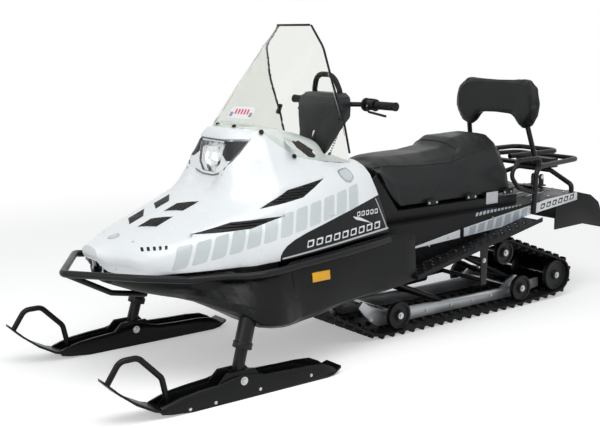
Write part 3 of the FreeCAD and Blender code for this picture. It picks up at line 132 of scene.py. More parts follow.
def finish_of(name, colour, roughness, grain, height, tint=0.12, dull=0.08, **sockets):
    """A material with a grain, by pitch and height in millimetres, and slow patches of tint and dullness."""
    look = bpy.data.materials.new(name)
    look.use_nodes = True
    tree = look.node_tree
    bsdf = tree.nodes["Principled BSDF"]
    for key, value in sockets.items():
        bsdf.inputs[key.replace("_", " ")].default_value = value
    place = add_node(tree, "ShaderNodeTexCoord").outputs["Object"]
    fine, slow = [
        add_node(tree, "ShaderNodeTexNoise", {"Vector": place}, inputs={"Scale": scale, "Detail": detail})
        for scale, detail in ((1000 / grain, 3), (5.5, 4))]
    shade = add_node(tree, "ShaderNodeValToRGB", {"Fac": slow.outputs["Fac"]})
    for stop, position, change in zip(shade.color_ramp.elements, (0.32, 0.68), (1 - tint, 1 + tint)):
        stop.position = position
        stop.color = [min(1, c * change) for c in linear(colour)[:3]] + [1]
    tree.links.new(shade.outputs["Color"], bsdf.inputs["Base Color"])
    worn = add_node(
        tree, "ShaderNodeMapRange", {"Value": slow.outputs["Fac"]},
        inputs={"From Min": 0.3, "From Max": 0.7, "To Min": roughness - dull, "To Max": roughness + dull})
    tree.links.new(worn.outputs["Result"], bsdf.inputs["Roughness"])
    bump = add_node(
        tree, "ShaderNodeBump", {"Height": fine.outputs["Fac"]},
        inputs={"Strength": 0.6, "Distance": height / 1000})
    tree.links.new(bump.outputs["Normal"], bsdf.inputs["Normal"])
    return look


def drawn(name, places, radius=0.0, kind="NURBS", closed=False, facets=3, detail=3, caps=False):
    """A curve with these places as its control points, as thick as the radius says."""
    curve = bpy.data.curves.new(name, "CURVE")
    curve.dimensions = "3D"
    curve.bevel_depth = radius
    curve.bevel_resolution = facets
    curve.use_fill_caps = caps
    spline = curve.splines.new(kind)
    spline.points.add(len(places) - 1)
    for knot, place in zip(spline.points, places):
        knot.co = (*place, 1)
    spline.order_u = 3
    spline.use_endpoint_u = not closed
    spline.use_cyclic_u = closed
    spline.resolution_u = detail
    return curve


def strand(name, places, radius, look, body, **shape):
    """A drawn curve as a piece in its material, riding on its body."""
    curve = drawn(name, places, radius, **shape)
    curve.materials.append(look)
    piece = laid(name, curve)
    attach(piece, body)
    return piece


def plain_mesh(piece):
    """What a piece's modifiers make of it, as a mesh of its own. The modifiers then go."""
    bpy.context.view_layer.update()
    made = bpy.data.meshes.new_from_object(piece.evaluated_get(bpy.context.evaluated_depsgraph_get()))
    piece.modifiers.clear()
    return made


def finished(node, look, edge=0.0015, crease=32):
    """A CAD piece as it comes from the finisher: its sharp edges rounded and its round faces smooth."""
    source = frame["nodes"][node]
    mesh = source.data.copy()
    mesh.materials.clear()
    work = bmesh.new()
    work.from_mesh(mesh)
    bmesh.ops.remove_doubles(work, verts=work.verts, dist=weld_reach)
    bmesh.ops.dissolve_limit(work, angle_limit=math.radians(flat_degrees), verts=work.verts, edges=work.edges)
    for face in work.faces:
        face.smooth = True
    work.to_mesh(mesh)
    work.free()
    piece = laid(node + "_finished", mesh)
    if edge:
        rounding = piece.modifiers.new("rounding", "BEVEL")
        rounding.width = edge
        rounding.segments = 2
        rounding.limit_method = "ANGLE"
        rounding.angle_limit = math.radians(crease)
        rounding.use_clamp_overlap = True
        rounding.miter_outer = "MITER_ARC"
        rounding.harden_normals = True
    else:
        mesh.set_sharp_from_angle(angle=math.radians(crease))
    piece.data = plain_mesh(piece)
    piece.data.materials.append(look)
    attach(piece, source["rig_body"])
    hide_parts(node)
    return piece


# The spline that the route guides gives the cord's line, and the coil winds round it.
holder = bpy.data.objects.new("route", drawn("route", tether_route, detail=24))
line = [v.co.copy() for v in bpy.data.meshes.new_from_object(holder).vertices]
bpy.data.objects.remove(holder)
reach = [0.0]
for before, after in zip(line, line[1:]):
    reach.append(reach[-1] + (after - before).length)
coil = []
step_count = tether_turns * points_a_turn
for step in range(step_count + 1):
    gone = step / step_count * reach[-1]
    index = max(i for i, r in enumerate(reach[:-1]) if r <= gone)
    along = (line[index + 1] - line[index]).normalized()
    centre = line[index] + along * (gone - reach[index])
    across = along.cross(Vector((0, 1, 0))).normalized()
    upward = across.cross(along)
    lead = min(1, step / points_a_turn, (step_count - step) / points_a_turn)
    angle = 2 * math.pi * step / points_a_turn
    coil.append(centre + (across * math.cos(angle) + upward * math.sin(angle)) * tether_turn_radius * lead)
# Polyurethane cord: smooth from the die, dark, with a soft gloss along each turn.
cord_skin = finish_of("extruded_polyurethane_black", "#131416", 0.32, 1.2, 0.02)
tether = strand("tether_coil", coil, tether_wire / 2, cord_skin, "steering")
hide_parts("tether_cord")
# Injection-moulded nylon: fine spark-eroded grain, so it is dark with a dull sheen.
nylon = finish_of("moulded_nylon_black", "#111214", 0.48, 1.0, 0.05, Specular_IOR_Level=0.25)
tether_clip = finished("tether_clip", nylon, edge=0.0008)


# The studio: a white paper sweep under the machine, a pale room round it and two large soft lamps.
# Light Path keeps the backdrop white to the eye, in metal and through glass, and adds no light on the object.
room_light = 0.42
key_power = 140
fill_power = 34
floor_glow = 0.38
sweep_near = 2.4
sweep_far = 5.0
floor_reach = 30.0


def unlit_share(tree):
    """One where a ray comes from the eye, a mirror or through glass, nought where it lights the object."""
    path = add_node(tree, "ShaderNodeLightPath").outputs
    share = path["Is Camera Ray"]
    for ray in ("Is Glossy Ray", "Is Transmission Ray"):
        share = add_node(tree, "ShaderNodeMath", {0: share, 1: path[ray]}, operation="MAXIMUM").outputs[0]
    return share


def soft_lamp(name, place, aim, size, power):
    """A rectangular soft lamp at a place, turned to its aim."""
    lamp = laid(name, bpy.data.lights.new(name, "AREA"))
    lamp.data.shape = "RECTANGLE"
    lamp.data.size, lamp.data.size_y = size
    lamp.data.energy = power
    toward = (Vector(aim) - Vector(place)).to_track_quat("-Z", "Y").to_matrix().to_4x4()
    lamp.matrix_world = Matrix.Translation(place) @ toward


world = bpy.data.worlds.new("studio_room")
bpy.context.scene.world = world
world.use_nodes = True
tree = world.node_tree
tree.nodes.clear()
lit = add_node(tree, "ShaderNodeBackground", inputs={"Color": linear("#f4f6f8"), "Strength": room_light})
seen = add_node(tree, "ShaderNodeBackground", inputs={"Color": (1, 1, 1, 1), "Strength": 1.0})
mixed = add_node(tree, "ShaderNodeMixShader", {0: unlit_share(tree), 1: lit.outputs[0], 2: seen.outputs[0]})
add_node(tree, "ShaderNodeOutputWorld", {"Surface": mixed.outputs[0]})
soft_lamp("key_lamp", (1.2, 2.4, 4.6), (0, 0, 0.5), (4.5, 3.0), key_power)
soft_lamp("fill_lamp", (5.0, 1.0, 2.4), (0, 0, 0.6), (2.5, 2.5), fill_power)

floor_mesh = bpy.data.meshes.new("studio_floor")
corners = [(x * floor_reach, y * floor_reach, 0) for x, y in ((-1, -1), (1, -1), (1, 1), (-1, 1))]
floor_mesh.from_pydata(corners, [], [(0, 1, 2, 3)])
floor = laid("studio_floor", floor_mesh)
# Matt paper: near the machine it takes the shadow, and further out it runs into the white of the backdrop.
sweep = bpy.data.materials.new("matt_paper_white")
sweep.use_nodes = True
tree = sweep.node_tree
tree.nodes.clear()
paper = add_node(tree, "ShaderNodeBsdfDiffuse", inputs={"Color": linear("#f4f4f4")})
glow = add_node(tree, "ShaderNodeEmission", inputs={"Color": (1, 1, 1, 1), "Strength": floor_glow})
white = add_node(tree, "ShaderNodeEmission", inputs={"Color": (1, 1, 1, 1), "Strength": 1.0})
both = add_node(tree, "ShaderNodeAddShader", {0: paper.outputs[0], 1: glow.outputs[0]})
place = add_node(tree, "ShaderNodeTexCoord").outputs["Object"]
away = add_node(tree, "ShaderNodeVectorMath", {0: place}, operation="LENGTH")
fade = add_node(
    tree, "ShaderNodeMapRange", {"Value": away.outputs["Value"]}, interpolation_type="SMOOTHSTEP",
    inputs={"From Min": sweep_near, "From Max": sweep_far})
backdrop = add_node(
    tree, "ShaderNodeMixShader", {0: fade.outputs["Result"], 1: both.outputs[0], 2: white.outputs[0]})
mixed = add_node(
    tree, "ShaderNodeMixShader", {0: unlit_share(tree), 1: paper.outputs[0], 2: backdrop.outputs[0]})
add_node(tree, "ShaderNodeOutputMaterial", {"Surface": mixed.outputs[0]})
floor.data.materials.append(sweep)


# The belly pan: one deep moulding of black polyethylene that closes the machine from below.
# The steel bumper rail runs along its edge on studs, and bright screws hold the edge to the frame.
sides = {"left": 1, "right": -1}
ski_bolt = next(j for j in frame["record"]["behaviour"]["joints"] if j["name"] == "ski_tilt_left")["pos_m"]
rim_screws = (
    (70, 326, 464), (-28, 366, 468), (-277, 424, 474), (-477, 415, 490),
    (-673, 411, 507), (-721, 408, 511), (-828, 402, 519))
reflector_frame = [(-302, 388), (-443, 388), (-443, 458), (-302, 458)]
least_facing = 0.12
sharp_degrees = 40
ray_start = 0.25


def spot(x, y, z):
    """A place given in millimetres from the middle of the ski bolts and from the ground."""
    return Vector((ski_bolt[0] + x / 1000, y / 1000, z / 1000))


def surface_of(piece):
    """A piece's skin, as a tree in which the nearest place or the place along a ray is found."""
    mesh = piece.data
    return BVHTree.FromPolygons([v.co for v in mesh.vertices], [p.vertices[:] for p in mesh.polygons])


def seats(piece, places, facing=None, pair=True):
    """Where fasteners sit on a piece: the places on its skin, each with the direction that the skin faces."""
    skin = surface_of(piece)
    found = []
    for side in ((1, -1) if pair else (1,)):
        for x, y, z in places:
            place = spot(x, side * y, z)
            if facing is None:
                found.append(skin.find_nearest(place)[:2])
                continue
            toward = Vector((facing[0], facing[1] * side, facing[2])).normalized()
            hit = skin.ray_cast(place + toward * ray_start, -toward)[0]
            if hit:
                found.append((hit, toward))
    return found


def grown(piece, tree, **values):
    """What a Geometry Nodes tree makes of a piece with its named inputs set, as a plain mesh."""
    modifier = piece.modifiers.new(tree.name, "NODES")
    modifier.node_group = tree
    for item in tree.interface.items_tree:
        key = item.name.replace(" ", "_")
        if item.in_out == "INPUT" and key in values:
            modifier[item.identifier] = values[key]
    return plain_mesh(piece)


def tree_with(name, **inputs):
    """A new Geometry Nodes tree with these named inputs and a finish, and the sockets that bring them in."""
    tree = bpy.data.node_groups.new(name, "GeometryNodeTree")
    for label, kind in {"Geometry": "Geometry", **inputs, "finish": "Material"}.items():
        tree.interface.new_socket(label.replace("_", " "), in_out="INPUT", socket_type="NodeSocket" + kind)
    tree.interface.new_socket("Geometry", in_out="OUTPUT", socket_type="NodeSocketGeometry")
    return tree, add_node(tree, "NodeGroupInput").outputs


def set_on_points(tree, given, form, points=None, rotation=None):
    """Ends a tree: the form stands on every point, turned as the point faces, as one mesh in its finish."""
    if rotation is None:
        facing = add_node(
            tree, "GeometryNodeInputNamedAttribute", data_type="FLOAT_VECTOR", inputs={"Name": "facing"})
        turned = add_node(
            tree, "FunctionNodeAlignRotationToVector", {"Vector": facing.outputs["Attribute"]}, axis="Z")
        rotation = turned.outputs[0]
    standing = add_node(
        tree, "GeometryNodeInstanceOnPoints",
        {"Points": points or given["Geometry"], "Instance": form, "Rotation": rotation})
    solid = add_node(tree, "GeometryNodeRealizeInstances", {"Geometry": standing.outputs[0]})
    clad = add_node(
        tree, "GeometryNodeSetMaterial", {"Geometry": solid.outputs[0], "Material": given["finish"]})
    add_node(tree, "NodeGroupOutput", {"Geometry": clad.outputs[0]})


# Each fastener is a washer with a chamfered head on it, set on a point and turned as the skin faces.
bolt_tree, given = tree_with(
    "set_bolts", washer_radius="Float", head_radius="Float", head_height="Float", sides="Int")
thin, crown = [
    add_node(
        bolt_tree, "ShaderNodeMath", {0: given[label]}, operation="MULTIPLY", inputs={1: share}).outputs[0]
    for label, share in (("head height", 0.5), ("head radius", 0.82))]
washer = add_node(
    bolt_tree, "GeometryNodeMeshCylinder", {"Radius": given["washer radius"], "Depth": thin},
    inputs={"Vertices": 20})
head = add_node(
    bolt_tree, "GeometryNodeMeshCone",
    {"Vertices": given["sides"], "Radius Bottom": given["head radius"], "Radius Top": crown,
     "Depth": given["head height"]})
both = add_node(bolt_tree, "GeometryNodeJoinGeometry", {"Geometry": washer.outputs["Mesh"]})
bolt_tree.links.new(head.outputs["Mesh"], both.inputs["Geometry"])
set_on_points(bolt_tree, given, both.outputs[0])


def set_out(name, places, body, tree, **values):
    """What a tree sets on loose points, each with the direction that it faces, as one piece on a body."""
    mesh = bpy.data.meshes.new(name)
    mesh.from_pydata([place for place, facing in places], [], [])
    held = mesh.attributes.new("facing", "FLOAT_VECTOR", "POINT")
    held.data.foreach_set("vector", [c for place, facing in places for c in facing])
    piece = laid(name, mesh)
    piece.data = grown(piece, tree, **values)
    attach(piece, body)


def fastened(name, places, body, washer, head, height, sides=6, look=None):
    """A row of bolts, screws or rivets as one mesh: sizes in millimetres, zinc-plated as a rule."""
    set_out(
        name, places, body, bolt_tree, washer_radius=washer / 1000, head_radius=head / 1000,
        head_height=height / 1000, sides=sides, finish=look or zinc)


def made_of(name, work, look=None, body=None, crease=None):
    """The work as a piece: its faces smooth up to the crease, in its material, riding on its body."""
    mesh = bpy.data.meshes.new(name)
    work.to_mesh(mesh)
    work.free()
    if crease:
        for face in mesh.polygons:
            face.use_smooth = True
        mesh.set_sharp_from_angle(angle=math.radians(crease))
    if look:
        mesh.materials.append(look)
    piece = laid(name, mesh)
    if body:
        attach(piece, body)
    return piece


def rounded(points, radius, steps=4):
    """An outline with its corners rounded, each by a short curve of the given reach in millimetres."""
    made = []
    for before, here, after in zip(points[-1:] + points[:-1], points, points[1:] + points[:1]):
        here = Vector(here)
        come = Vector(before) - here
        go = Vector(after) - here
        start = here + come.normalized() * min(radius, come.length / 2)
        end = here + go.normalized() * min(radius, go.length / 2)
        for step in range(steps + 1):
            t = step / steps
            made.append(start * (1 - t) ** 2 + here * (2 * t * (1 - t)) + end * t ** 2)
    return made


def film(name, source, outline, view, look, lift=0.0005):
    """A film or pad on a finished piece: its skin inside a convex outline, lifted and given that thickness.

    The outline's points are in millimetres: (x, z) seen along Y, (y, z) along X and (x, y) along Z."""
    view = Vector(view)
    start = Vector((0, 0, 0))
    if view.y:
        corners = [spot(a, 0, b) for a, b in outline]
        keep = Vector((0, -view.y, 0))
    elif view.x:
        corners = [spot(0, a, b) for a, b in outline]
        keep = Vector((-view.x, 0, 0))
    else:
        corners = [spot(a, b, 0) for a, b in outline]
        start.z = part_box("belly_pan")[0][2]
        keep = Vector((0, 0, -view.z))
    centre = sum(corners, Vector()) / len(corners)
    work = bmesh.new()
    work.from_mesh(source.data)
    bmesh.ops.triangulate(work, faces=work.faces[:])
    cuts = [(start, keep)]
    for here, there in zip(corners, corners[1:] + corners[:1]):
        outward = (there - here).cross(view).normalized()
        if outward.dot(centre - here) > 0:
            outward.negate()
        cuts.append((here, outward))
    for place, outward in cuts:
        everything = work.verts[:] + work.edges[:] + work.faces[:]
        bmesh.ops.bisect_plane(work, geom=everything, plane_co=place, plane_no=outward, clear_outer=True)
    away = [face for face in work.faces if face.normal.dot(view) < least_facing]
    bmesh.ops.delete(work, geom=away, context="FACES")
    bmesh.ops.remove_doubles(work, verts=work.verts, dist=weld_reach / 2)
    work.normal_update()
    for corner in work.verts:
        corner.co += corner.normal * lift
    work.normal_update()
    bmesh.ops.solidify(work, geom=work.faces[:], thickness=lift)
    return made_of(name, work, look, source["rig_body"], sharp_degrees)


# Rotation-moulded polyethylene: a deep, even black with a slight orange peel and a soft, broad gloss.
polyethylene = finish_of("moulded_polyethylene_black", "#0d0e0f", 0.33, 7.0, 0.10, Specular_IOR_Level=0.20)
belly = finished("belly_pan", polyethylene, edge=0.002)
# Zinc-plated steel: a bright grey metal that dulls a little where it is handled.
zinc = finish_of("zinc_plated_steel", "#c4c6c9", 0.30, 1.5, 0.02, Metallic=1.0)
fastened("belly_screws", seats(belly, rim_screws), "chassis", 7.5, 5.5, 3.5)
# Powder-coated steel tube: satin black with a very fine orange peel.
powder_coat = finish_of("powder_coated_steel_black", "#101113", 0.34, 1.4, 0.03, Specular_IOR_Level=0.25)
finished("bumper", powder_coat, edge=0.001)
finished("hood_hinge", powder_coat, edge=0.001)
for name, side in sides.items():
    film("reflector_frame_" + name, belly, reflector_frame, (0, side, 0), polyethylene, 0.0015)
# Amber acrylic: each reflector is moulded with small prisms that show as a fine bright net.
amber = finish_of("moulded_acrylic_amber", "#f5b400", 0.22, 1.0, 0.02, tint=0.06)
tree = amber.node_tree
place = add_node(tree, "ShaderNodeTexCoord").outputs["Object"]
prisms = add_node(tree, "ShaderNodeTexVoronoi", {"Vector": place}, inputs={"Scale": 240})
net = add_node(
    tree, "ShaderNodeBump", {"Height": prisms.outputs["Distance"]},
    inputs={"Strength": 0.8, "Distance": 0.002})
tree.links.new(net.outputs["Normal"], tree.nodes["Principled BSDF"].inputs["Normal"])
finished("side_reflectors", amber, edge=0.001)
# The engine, seen only from below and through gaps, is an alloy casting with a sand-cast skin.
cast_alloy = finish_of("sand_cast_aluminium", "#8f9194", 0.55, 3.0, 0.35, Metallic=0.9)
finished("engine_block", cast_alloy, edge=0.006)


# The skis: black moulded shoes with side walls, turned up in front round a thick handle tube.
# Each turns on a bolt through its boss, at the foot of a steel leg that slides in a sleeve on the frame.
ski_middle_y = 453.5
wall_lines = (
    (-478, 14, 20, 0.86), (-450, 10, 42, 0.95), (-405, 7, 62, 1.0), (-330, 4, 69, 1.0), (-230, 4, 71, 1.0),
    (-120, 4, 76, 1.0), (-60, 4, 90, 1.0), (0, 4, 97, 1.0), (50, 4, 92, 1.0), (110, 4, 80, 1.0),
    (200, 4, 74, 1.0), (280, 5, 66, 1.0), (330, 10, 54, 0.98), (370, 18, 42, 0.96))
wall_foot_y = 61
wall_bulge_y = 64
wall_top_y = 53
wall_inside_y = 43
pin_places = ((-75, 26), (135, 16), (-330, 30), (250, 16))


def skinned(work, rings, closed=False):
    """Faces from ring to ring, with a cap on each end or, where closed, on round to the first ring."""
    for ring, after in zip(rings, rings[1:] + rings[:1] if closed else rings[1:]):
        for i in range(len(ring)):
            j = (i + 1) % len(ring)
            work.faces.new((ring[i], ring[j], after[j], after[i]))
    if not closed:
        work.faces.new(rings[0])
        work.faces.new(rings[-1][::-1])
    bmesh.ops.recalc_face_normals(work, faces=work.faces)


def ski_wall(name, middle_y, way, body):
    """One side wall of a ski: it stands on the sole's edge, bulges a little and rolls over at its top."""
    work = bmesh.new()
    rings = []
    for x, low, top, share in wall_lines:
        section = (
            (wall_foot_y, low), (wall_bulge_y, low + (top - low) * 0.35),
            (wall_bulge_y - 3, low + (top - low) * 0.72), (wall_top_y + 3, top - 3), (wall_top_y, top),
            (wall_inside_y, top - 1), (wall_inside_y, low + 4))
        rings.append([work.verts.new(spot(x, middle_y + way * y * share, z)) for y, z in section])
    skinned(work, rings)
    return made_of(name, work, polyethylene, body, 50)


for name, side in sides.items():
    body = "ski_" + name + "_body"
    middle_y = side * ski_middle_y
    finished("strut_sleeve_" + name, powder_coat)
    finished("ski_leg_" + name, powder_coat, edge=0.001)
    finished("ski_" + name, polyethylene, edge=0.002)
    bolts = []
    for letter, way in (("a", 1), ("b", -1)):
        wall = ski_wall("ski_wall_%s_%s" % (letter, name), middle_y, way, body)
        bolts += seats(wall, [(0, middle_y, 75)], facing=(0, way, 0), pair=False)
        if way == side:
            pins = seats(wall, [(x, middle_y, z) for x, z in pin_places], facing=(0, way, 0), pair=False)
    fastened("ski_bolts_" + name, bolts, body, 17, 12, 8)
    fastened("ski_rivets_" + name, pins, body, 7, 5, 3, 12)


# The skid under the tunnel: two aluminium rails with nylon slides, rubber-rimmed wheels and steel arms.
# Cross shafts join the rails, and bright bolts hold the wheels, the arms and the brackets on the tunnel.
rail_bolts = ((-1321, 62), (-1490, 62), (-1640, 62), (-1780, 66), (-2030, 128), (-960, 78))
wheel_places = ((-1079, 93), (-1935, 93), (-1800, 302), (-2205, 125))
slide_front_x = -930
slide_rear_x = -2080
slide_height = 9

# Extruded aluminium: long fine die lines run along each rail, on a silvery grey that has dulled.
rail_alloy = finish_of("extruded_aluminium", "#c3c6c9", 0.46, 2.2, 0.10, tint=0.14, Metallic=0.75)
rails = finished("slide_rails", rail_alloy)
low_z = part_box("slide_rails")[0][2] * 1000
slide = [(slide_rear_x, low_z - 1), (slide_front_x, low_z - 1),
         (slide_front_x, low_z + slide_height), (slide_rear_x, low_z + slide_height)]
for name, side in sides.items():
    film("nylon_slide_" + name, rails, slide, (0, side, 0), nylon, 0.0015)
bolts = seats(rails, [(x, 150, z) for x, z in rail_bolts], facing=(0, 1, 0))
fastened("rail_bolts", bolts, "chassis", 12, 9, 6)
# Polyamide wheels carry a rubber rim: the web is moulded black with a dull sheen.
wheel_nylon = finish_of("moulded_polyamide_black", "#111214", 0.44, 1.6, 0.05, Specular_IOR_Level=0.25)
finished("bogie_wheels", wheel_nylon, edge=0.002)
finished("idler_wheels", wheel_nylon, edge=0.002)
axles = finished("wheel_axles", zinc, edge=0.0008)
hubs = seats(axles, [(x, 200, z) for x, z in wheel_places], facing=(0, 1, 0))
fastened("wheel_bolts", hubs, "chassis", 16, 11, 7)
drive_rubber = finish_of("moulded_rubber_black", "#131314", 0.60, 2.4, 0.10)
finished("drive_axle", drive_rubber, edge=0.002)
arms = finished("suspension_arms", powder_coat)
bracket_bolts = seats(arms, [(-1590, 286, z) for z in (300, 430)], facing=(0, 1, 0))
fastened("bracket_bolts", bracket_bolts, "chassis", 12, 9, 6)
finished("damper", powder_coat)


# The track: a moulded rubber belt on fibreglass rods, with a row of lugs at every pitch and nubs inside.
# The belt is cured as one endless loop, and it runs round the sprockets, carrier, idler, bogie and front.
track_circles = ((-548, 330, 88), (-1800, 302, 62), (-2205, 125, 84), (-1935, 93, 68), (-985, 255, 230))
belt_thickness = 8
belt_half_width = 250
belt_stations = 496
lug_rows = 62
lug_rise = 16.8
rib_rise = 6.5
nub_rise = 13
lug_spans = ((-249, -212), (-203, -128), (-118, -44), (-32, 32), (44, 118), (128, 203), (212, 249))
rib_spans = ((-236, -150), (-104, -60), (60, 104), (150, 236))
nub_spans = ((-193, -173), (173, 193), (-73, -55), (55, 73))


def loop_line(grown_by, count):
    """Even stations along the belt's run, each a place and the way outwards, with the circles grown."""
    circles = [(x, z, r + grown_by) for x, z, r in track_circles]
    runs = []
    for (x1, z1, r1), (x2, z2, r2) in zip(circles, circles[1:] + circles[:1]):
        side = math.atan2(z2 - z1, x2 - x1) - math.acos((r1 - r2) / math.hypot(x2 - x1, z2 - z1))
        runs.append((side, Vector((x2 + r2 * math.cos(side), 0, z2 + r2 * math.sin(side)))))
    dense = []
    for index, (x, z, r) in enumerate(circles):
        come = runs[index - 1][0]
        swept = (runs[index][0] - come) % (2 * math.pi)
        steps = max(3, int(swept * r / 4))
        for i in range(steps + 1):
            angle = come + swept * i / steps
            dense.append(Vector((x + r * math.cos(angle), 0, z + r * math.sin(angle))))
        dense.append(runs[index][1])
    dense.append(dense[0])
    far = [0.0]
    for before, after in zip(dense, dense[1:]):
        far.append(far[-1] + (after - before).length)
    places = []
    index = 0
    for step in range(count):
        want = far[-1] * step / count
        while far[index + 1] < want:
            index += 1
        share = (want - far[index]) / max(far[index + 1] - far[index], 0.001)
        places.append(dense[index].lerp(dense[index + 1], share))
    stations = []
    for index, here in enumerate(places):
        along = (places[(index + 1) % count] - places[index - 1]).normalized()
        stations.append((here, Vector((along.z, 0, -along.x))))
    return stations


def row_block(name, spans, foot, crown, rise):
    """One row of moulded blocks across the belt, each wider at its foot than at its crown."""
    block = bmesh.new()
    for low, high in spans:
        taper = min(4, (high - low) * 0.2)
        levels = ((-1, foot / 2, 0), (rise * 0.55, (foot + crown) / 4, taper * 0.4), (rise, crown / 2, taper))
        skinned(block, [[
            block.verts.new(Vector((x * half, y, z)) / 1000)
            for x, y in ((-1, low + inset), (1, low + inset), (1, high - inset), (-1, high - inset))]
            for z, half, inset in levels])
    return made_of(name, block)


# Moulded rubber: a matt black that greys a little along the lugs' worn tips.
track_rubber = finish_of("cured_rubber_black", "#121213", 0.58, 2.0, 0.12, tint=0.2, Specular_IOR_Level=0.22)
outer_run = loop_line(belt_thickness, belt_stations)
belt = bmesh.new()
rings = []
for here, outward in outer_run:
    inner = here - outward * belt_thickness
    rings.append([
        belt.verts.new(spot(place.x, y * belt_half_width, place.z))
        for y, place in ((-1, here), (1, here), (1, inner), (-1, inner))])
skinned(belt, rings, closed=True)
track = made_of("track_belt", belt, track_rubber, "chassis", sharp_degrees)
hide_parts("track")

# The lug tree sets one moulded row on each station of the belt, turned as the belt faces there.
row_tree, given = tree_with("set_lug_rows", row="Object")
row_shape = add_node(row_tree, "GeometryNodeObjectInfo", {"Object": given["row"]})
set_on_points(row_tree, given, row_shape.outputs["Geometry"])
pitch = belt_stations // lug_rows
inner_run = loop_line(0, belt_stations)
for name, spans, foot, crown, rise, stations, way in (
        ("lug", lug_spans, 19, 10, lug_rise, outer_run[::pitch], 1),
        ("rib", rib_spans, 10, 6, rib_rise, outer_run[pitch // 2::pitch], 1),
        ("nub", nub_spans, 26, 16, nub_rise, inner_run[::pitch], -1)):
    row = row_block(name + "_row", spans, foot, crown, rise)
    places = [(spot(here.x, 0, here.z), outward * way) for here, outward in stations]
    set_out("track_" + name + "s", places, "chassis", row_tree, row=row, finish=track_rubber)
    bpy.data.objects.remove(row)


# The tunnel: a folded sheet of aluminium, painted satin black, that the seat and the rack stand on.
# Vinyl stripes run along its sides, a strap holds them at the middle, and rivets join the boards to it.
stripes = {
    "front": [(-1031, 421), (-1412, 440), (-1412, 480)],
    "middle": [(-1438, 442), (-1694, 457), (-1921, 478), (-1921, 545), (-1694, 517), (-1438, 484)],
    "rear": rounded(
        [(-1958, 482), (-2090, 499), (-2284, 526), (-2284, 577), (-2066, 568), (-1958, 550)], 6, 2)}
stripe_strap = [(-1419, 438), (-1432, 438), (-1432, 492), (-1419, 492)]
stripe_bar_count = 7
stripe_bar_pitch = 62

satin_paint = finish_of("satin_painted_sheet_black", "#0e0f11", 0.38, 3.0, 0.03, Specular_IOR_Level=0.22)
tunnel = finished("tunnel", satin_paint, edge=0.0012)
# Printed vinyl: flat, even colours under a clear film with a low gloss.
vinyl_white = finish_of("printed_vinyl_white", "#e4e8ea", 0.30, 4.0, 0.01, tint=0.02)
vinyl_grey = finish_of("printed_vinyl_blue_grey", "#b4bfc8", 0.30, 4.0, 0.01, tint=0.03)
vinyl_dark = finish_of("printed_vinyl_black", "#111214", 0.30, 4.0, 0.01, tint=0.06, Specular_IOR_Level=0.25)


def mark_row(title, source, name, count, start, step, shape, look, lift=0.0005):
    """A row of blocks of film on one side of a piece, from the start (x, z) by even steps.

    Each is a rounded block that leans back: its shape is its width, height, slant and corner radius."""
    width, height, slant, radius = shape
    tilt = width * 0.1
    view = (0, sides[name], 0)
    for number in range(count):
        x = start[0] + step[0] * number
        z = start[1] + step[1] * number
        corners = [
            (x, z), (x - width, z + tilt), (x - width - slant, z + height + tilt), (x - slant, z + height)]
        film("%s_%s_%d" % (title, name, number), source, rounded(corners, radius, 3), view, look, lift)


for name, side in sides.items():
    view = (0, side, 0)
    for part, outline in stripes.items():
        film("stripe_%s_%s" % (part, name), tunnel, outline, view, vinyl_white)
    for bar in range(stripe_bar_count):
        back = bar * stripe_bar_pitch
        front = -1470 - back
        low = 444 + back * 0.072
        high = 489 + back * 0.126
        block = [(front, low + 3), (front - 44, low + 7), (front - 54, high + 1), (front - 12, high - 4)]
        film("stripe_bar_%s_%d" % (name, bar), tunnel, rounded(block, 5, 2), view, vinyl_grey, 0.001)
    mark_row("stripe_mark", tunnel, name, 6, (-1992, 516), (-46, 5), (30, 27, 8, 3), vinyl_dark, 0.001)
    mark_row("stripe_mark_field", tunnel, name, 6, (-1999, 522), (-46, 5), (16, 14, 4, 2), vinyl_white, 0.0014)
    mark_row("wall_mark", tunnel, name, 13, (-1516, 532), (-26, 1.6), (17, 17, 5, 2), vinyl_grey, 0.0008)
    film("stripe_strap_" + name, tunnel, stripe_strap, view, powder_coat, 0.003)
rivet_places = [(x, 290, 404 + (-1099 - x) * 0.2) for x in (-1099, -1208, -1330, -1480, -1640)]
fastened("board_rivets", seats(tunnel, rivet_places, facing=(0, 1, 0)), "chassis", 6, 4.5, 2.5, 12)

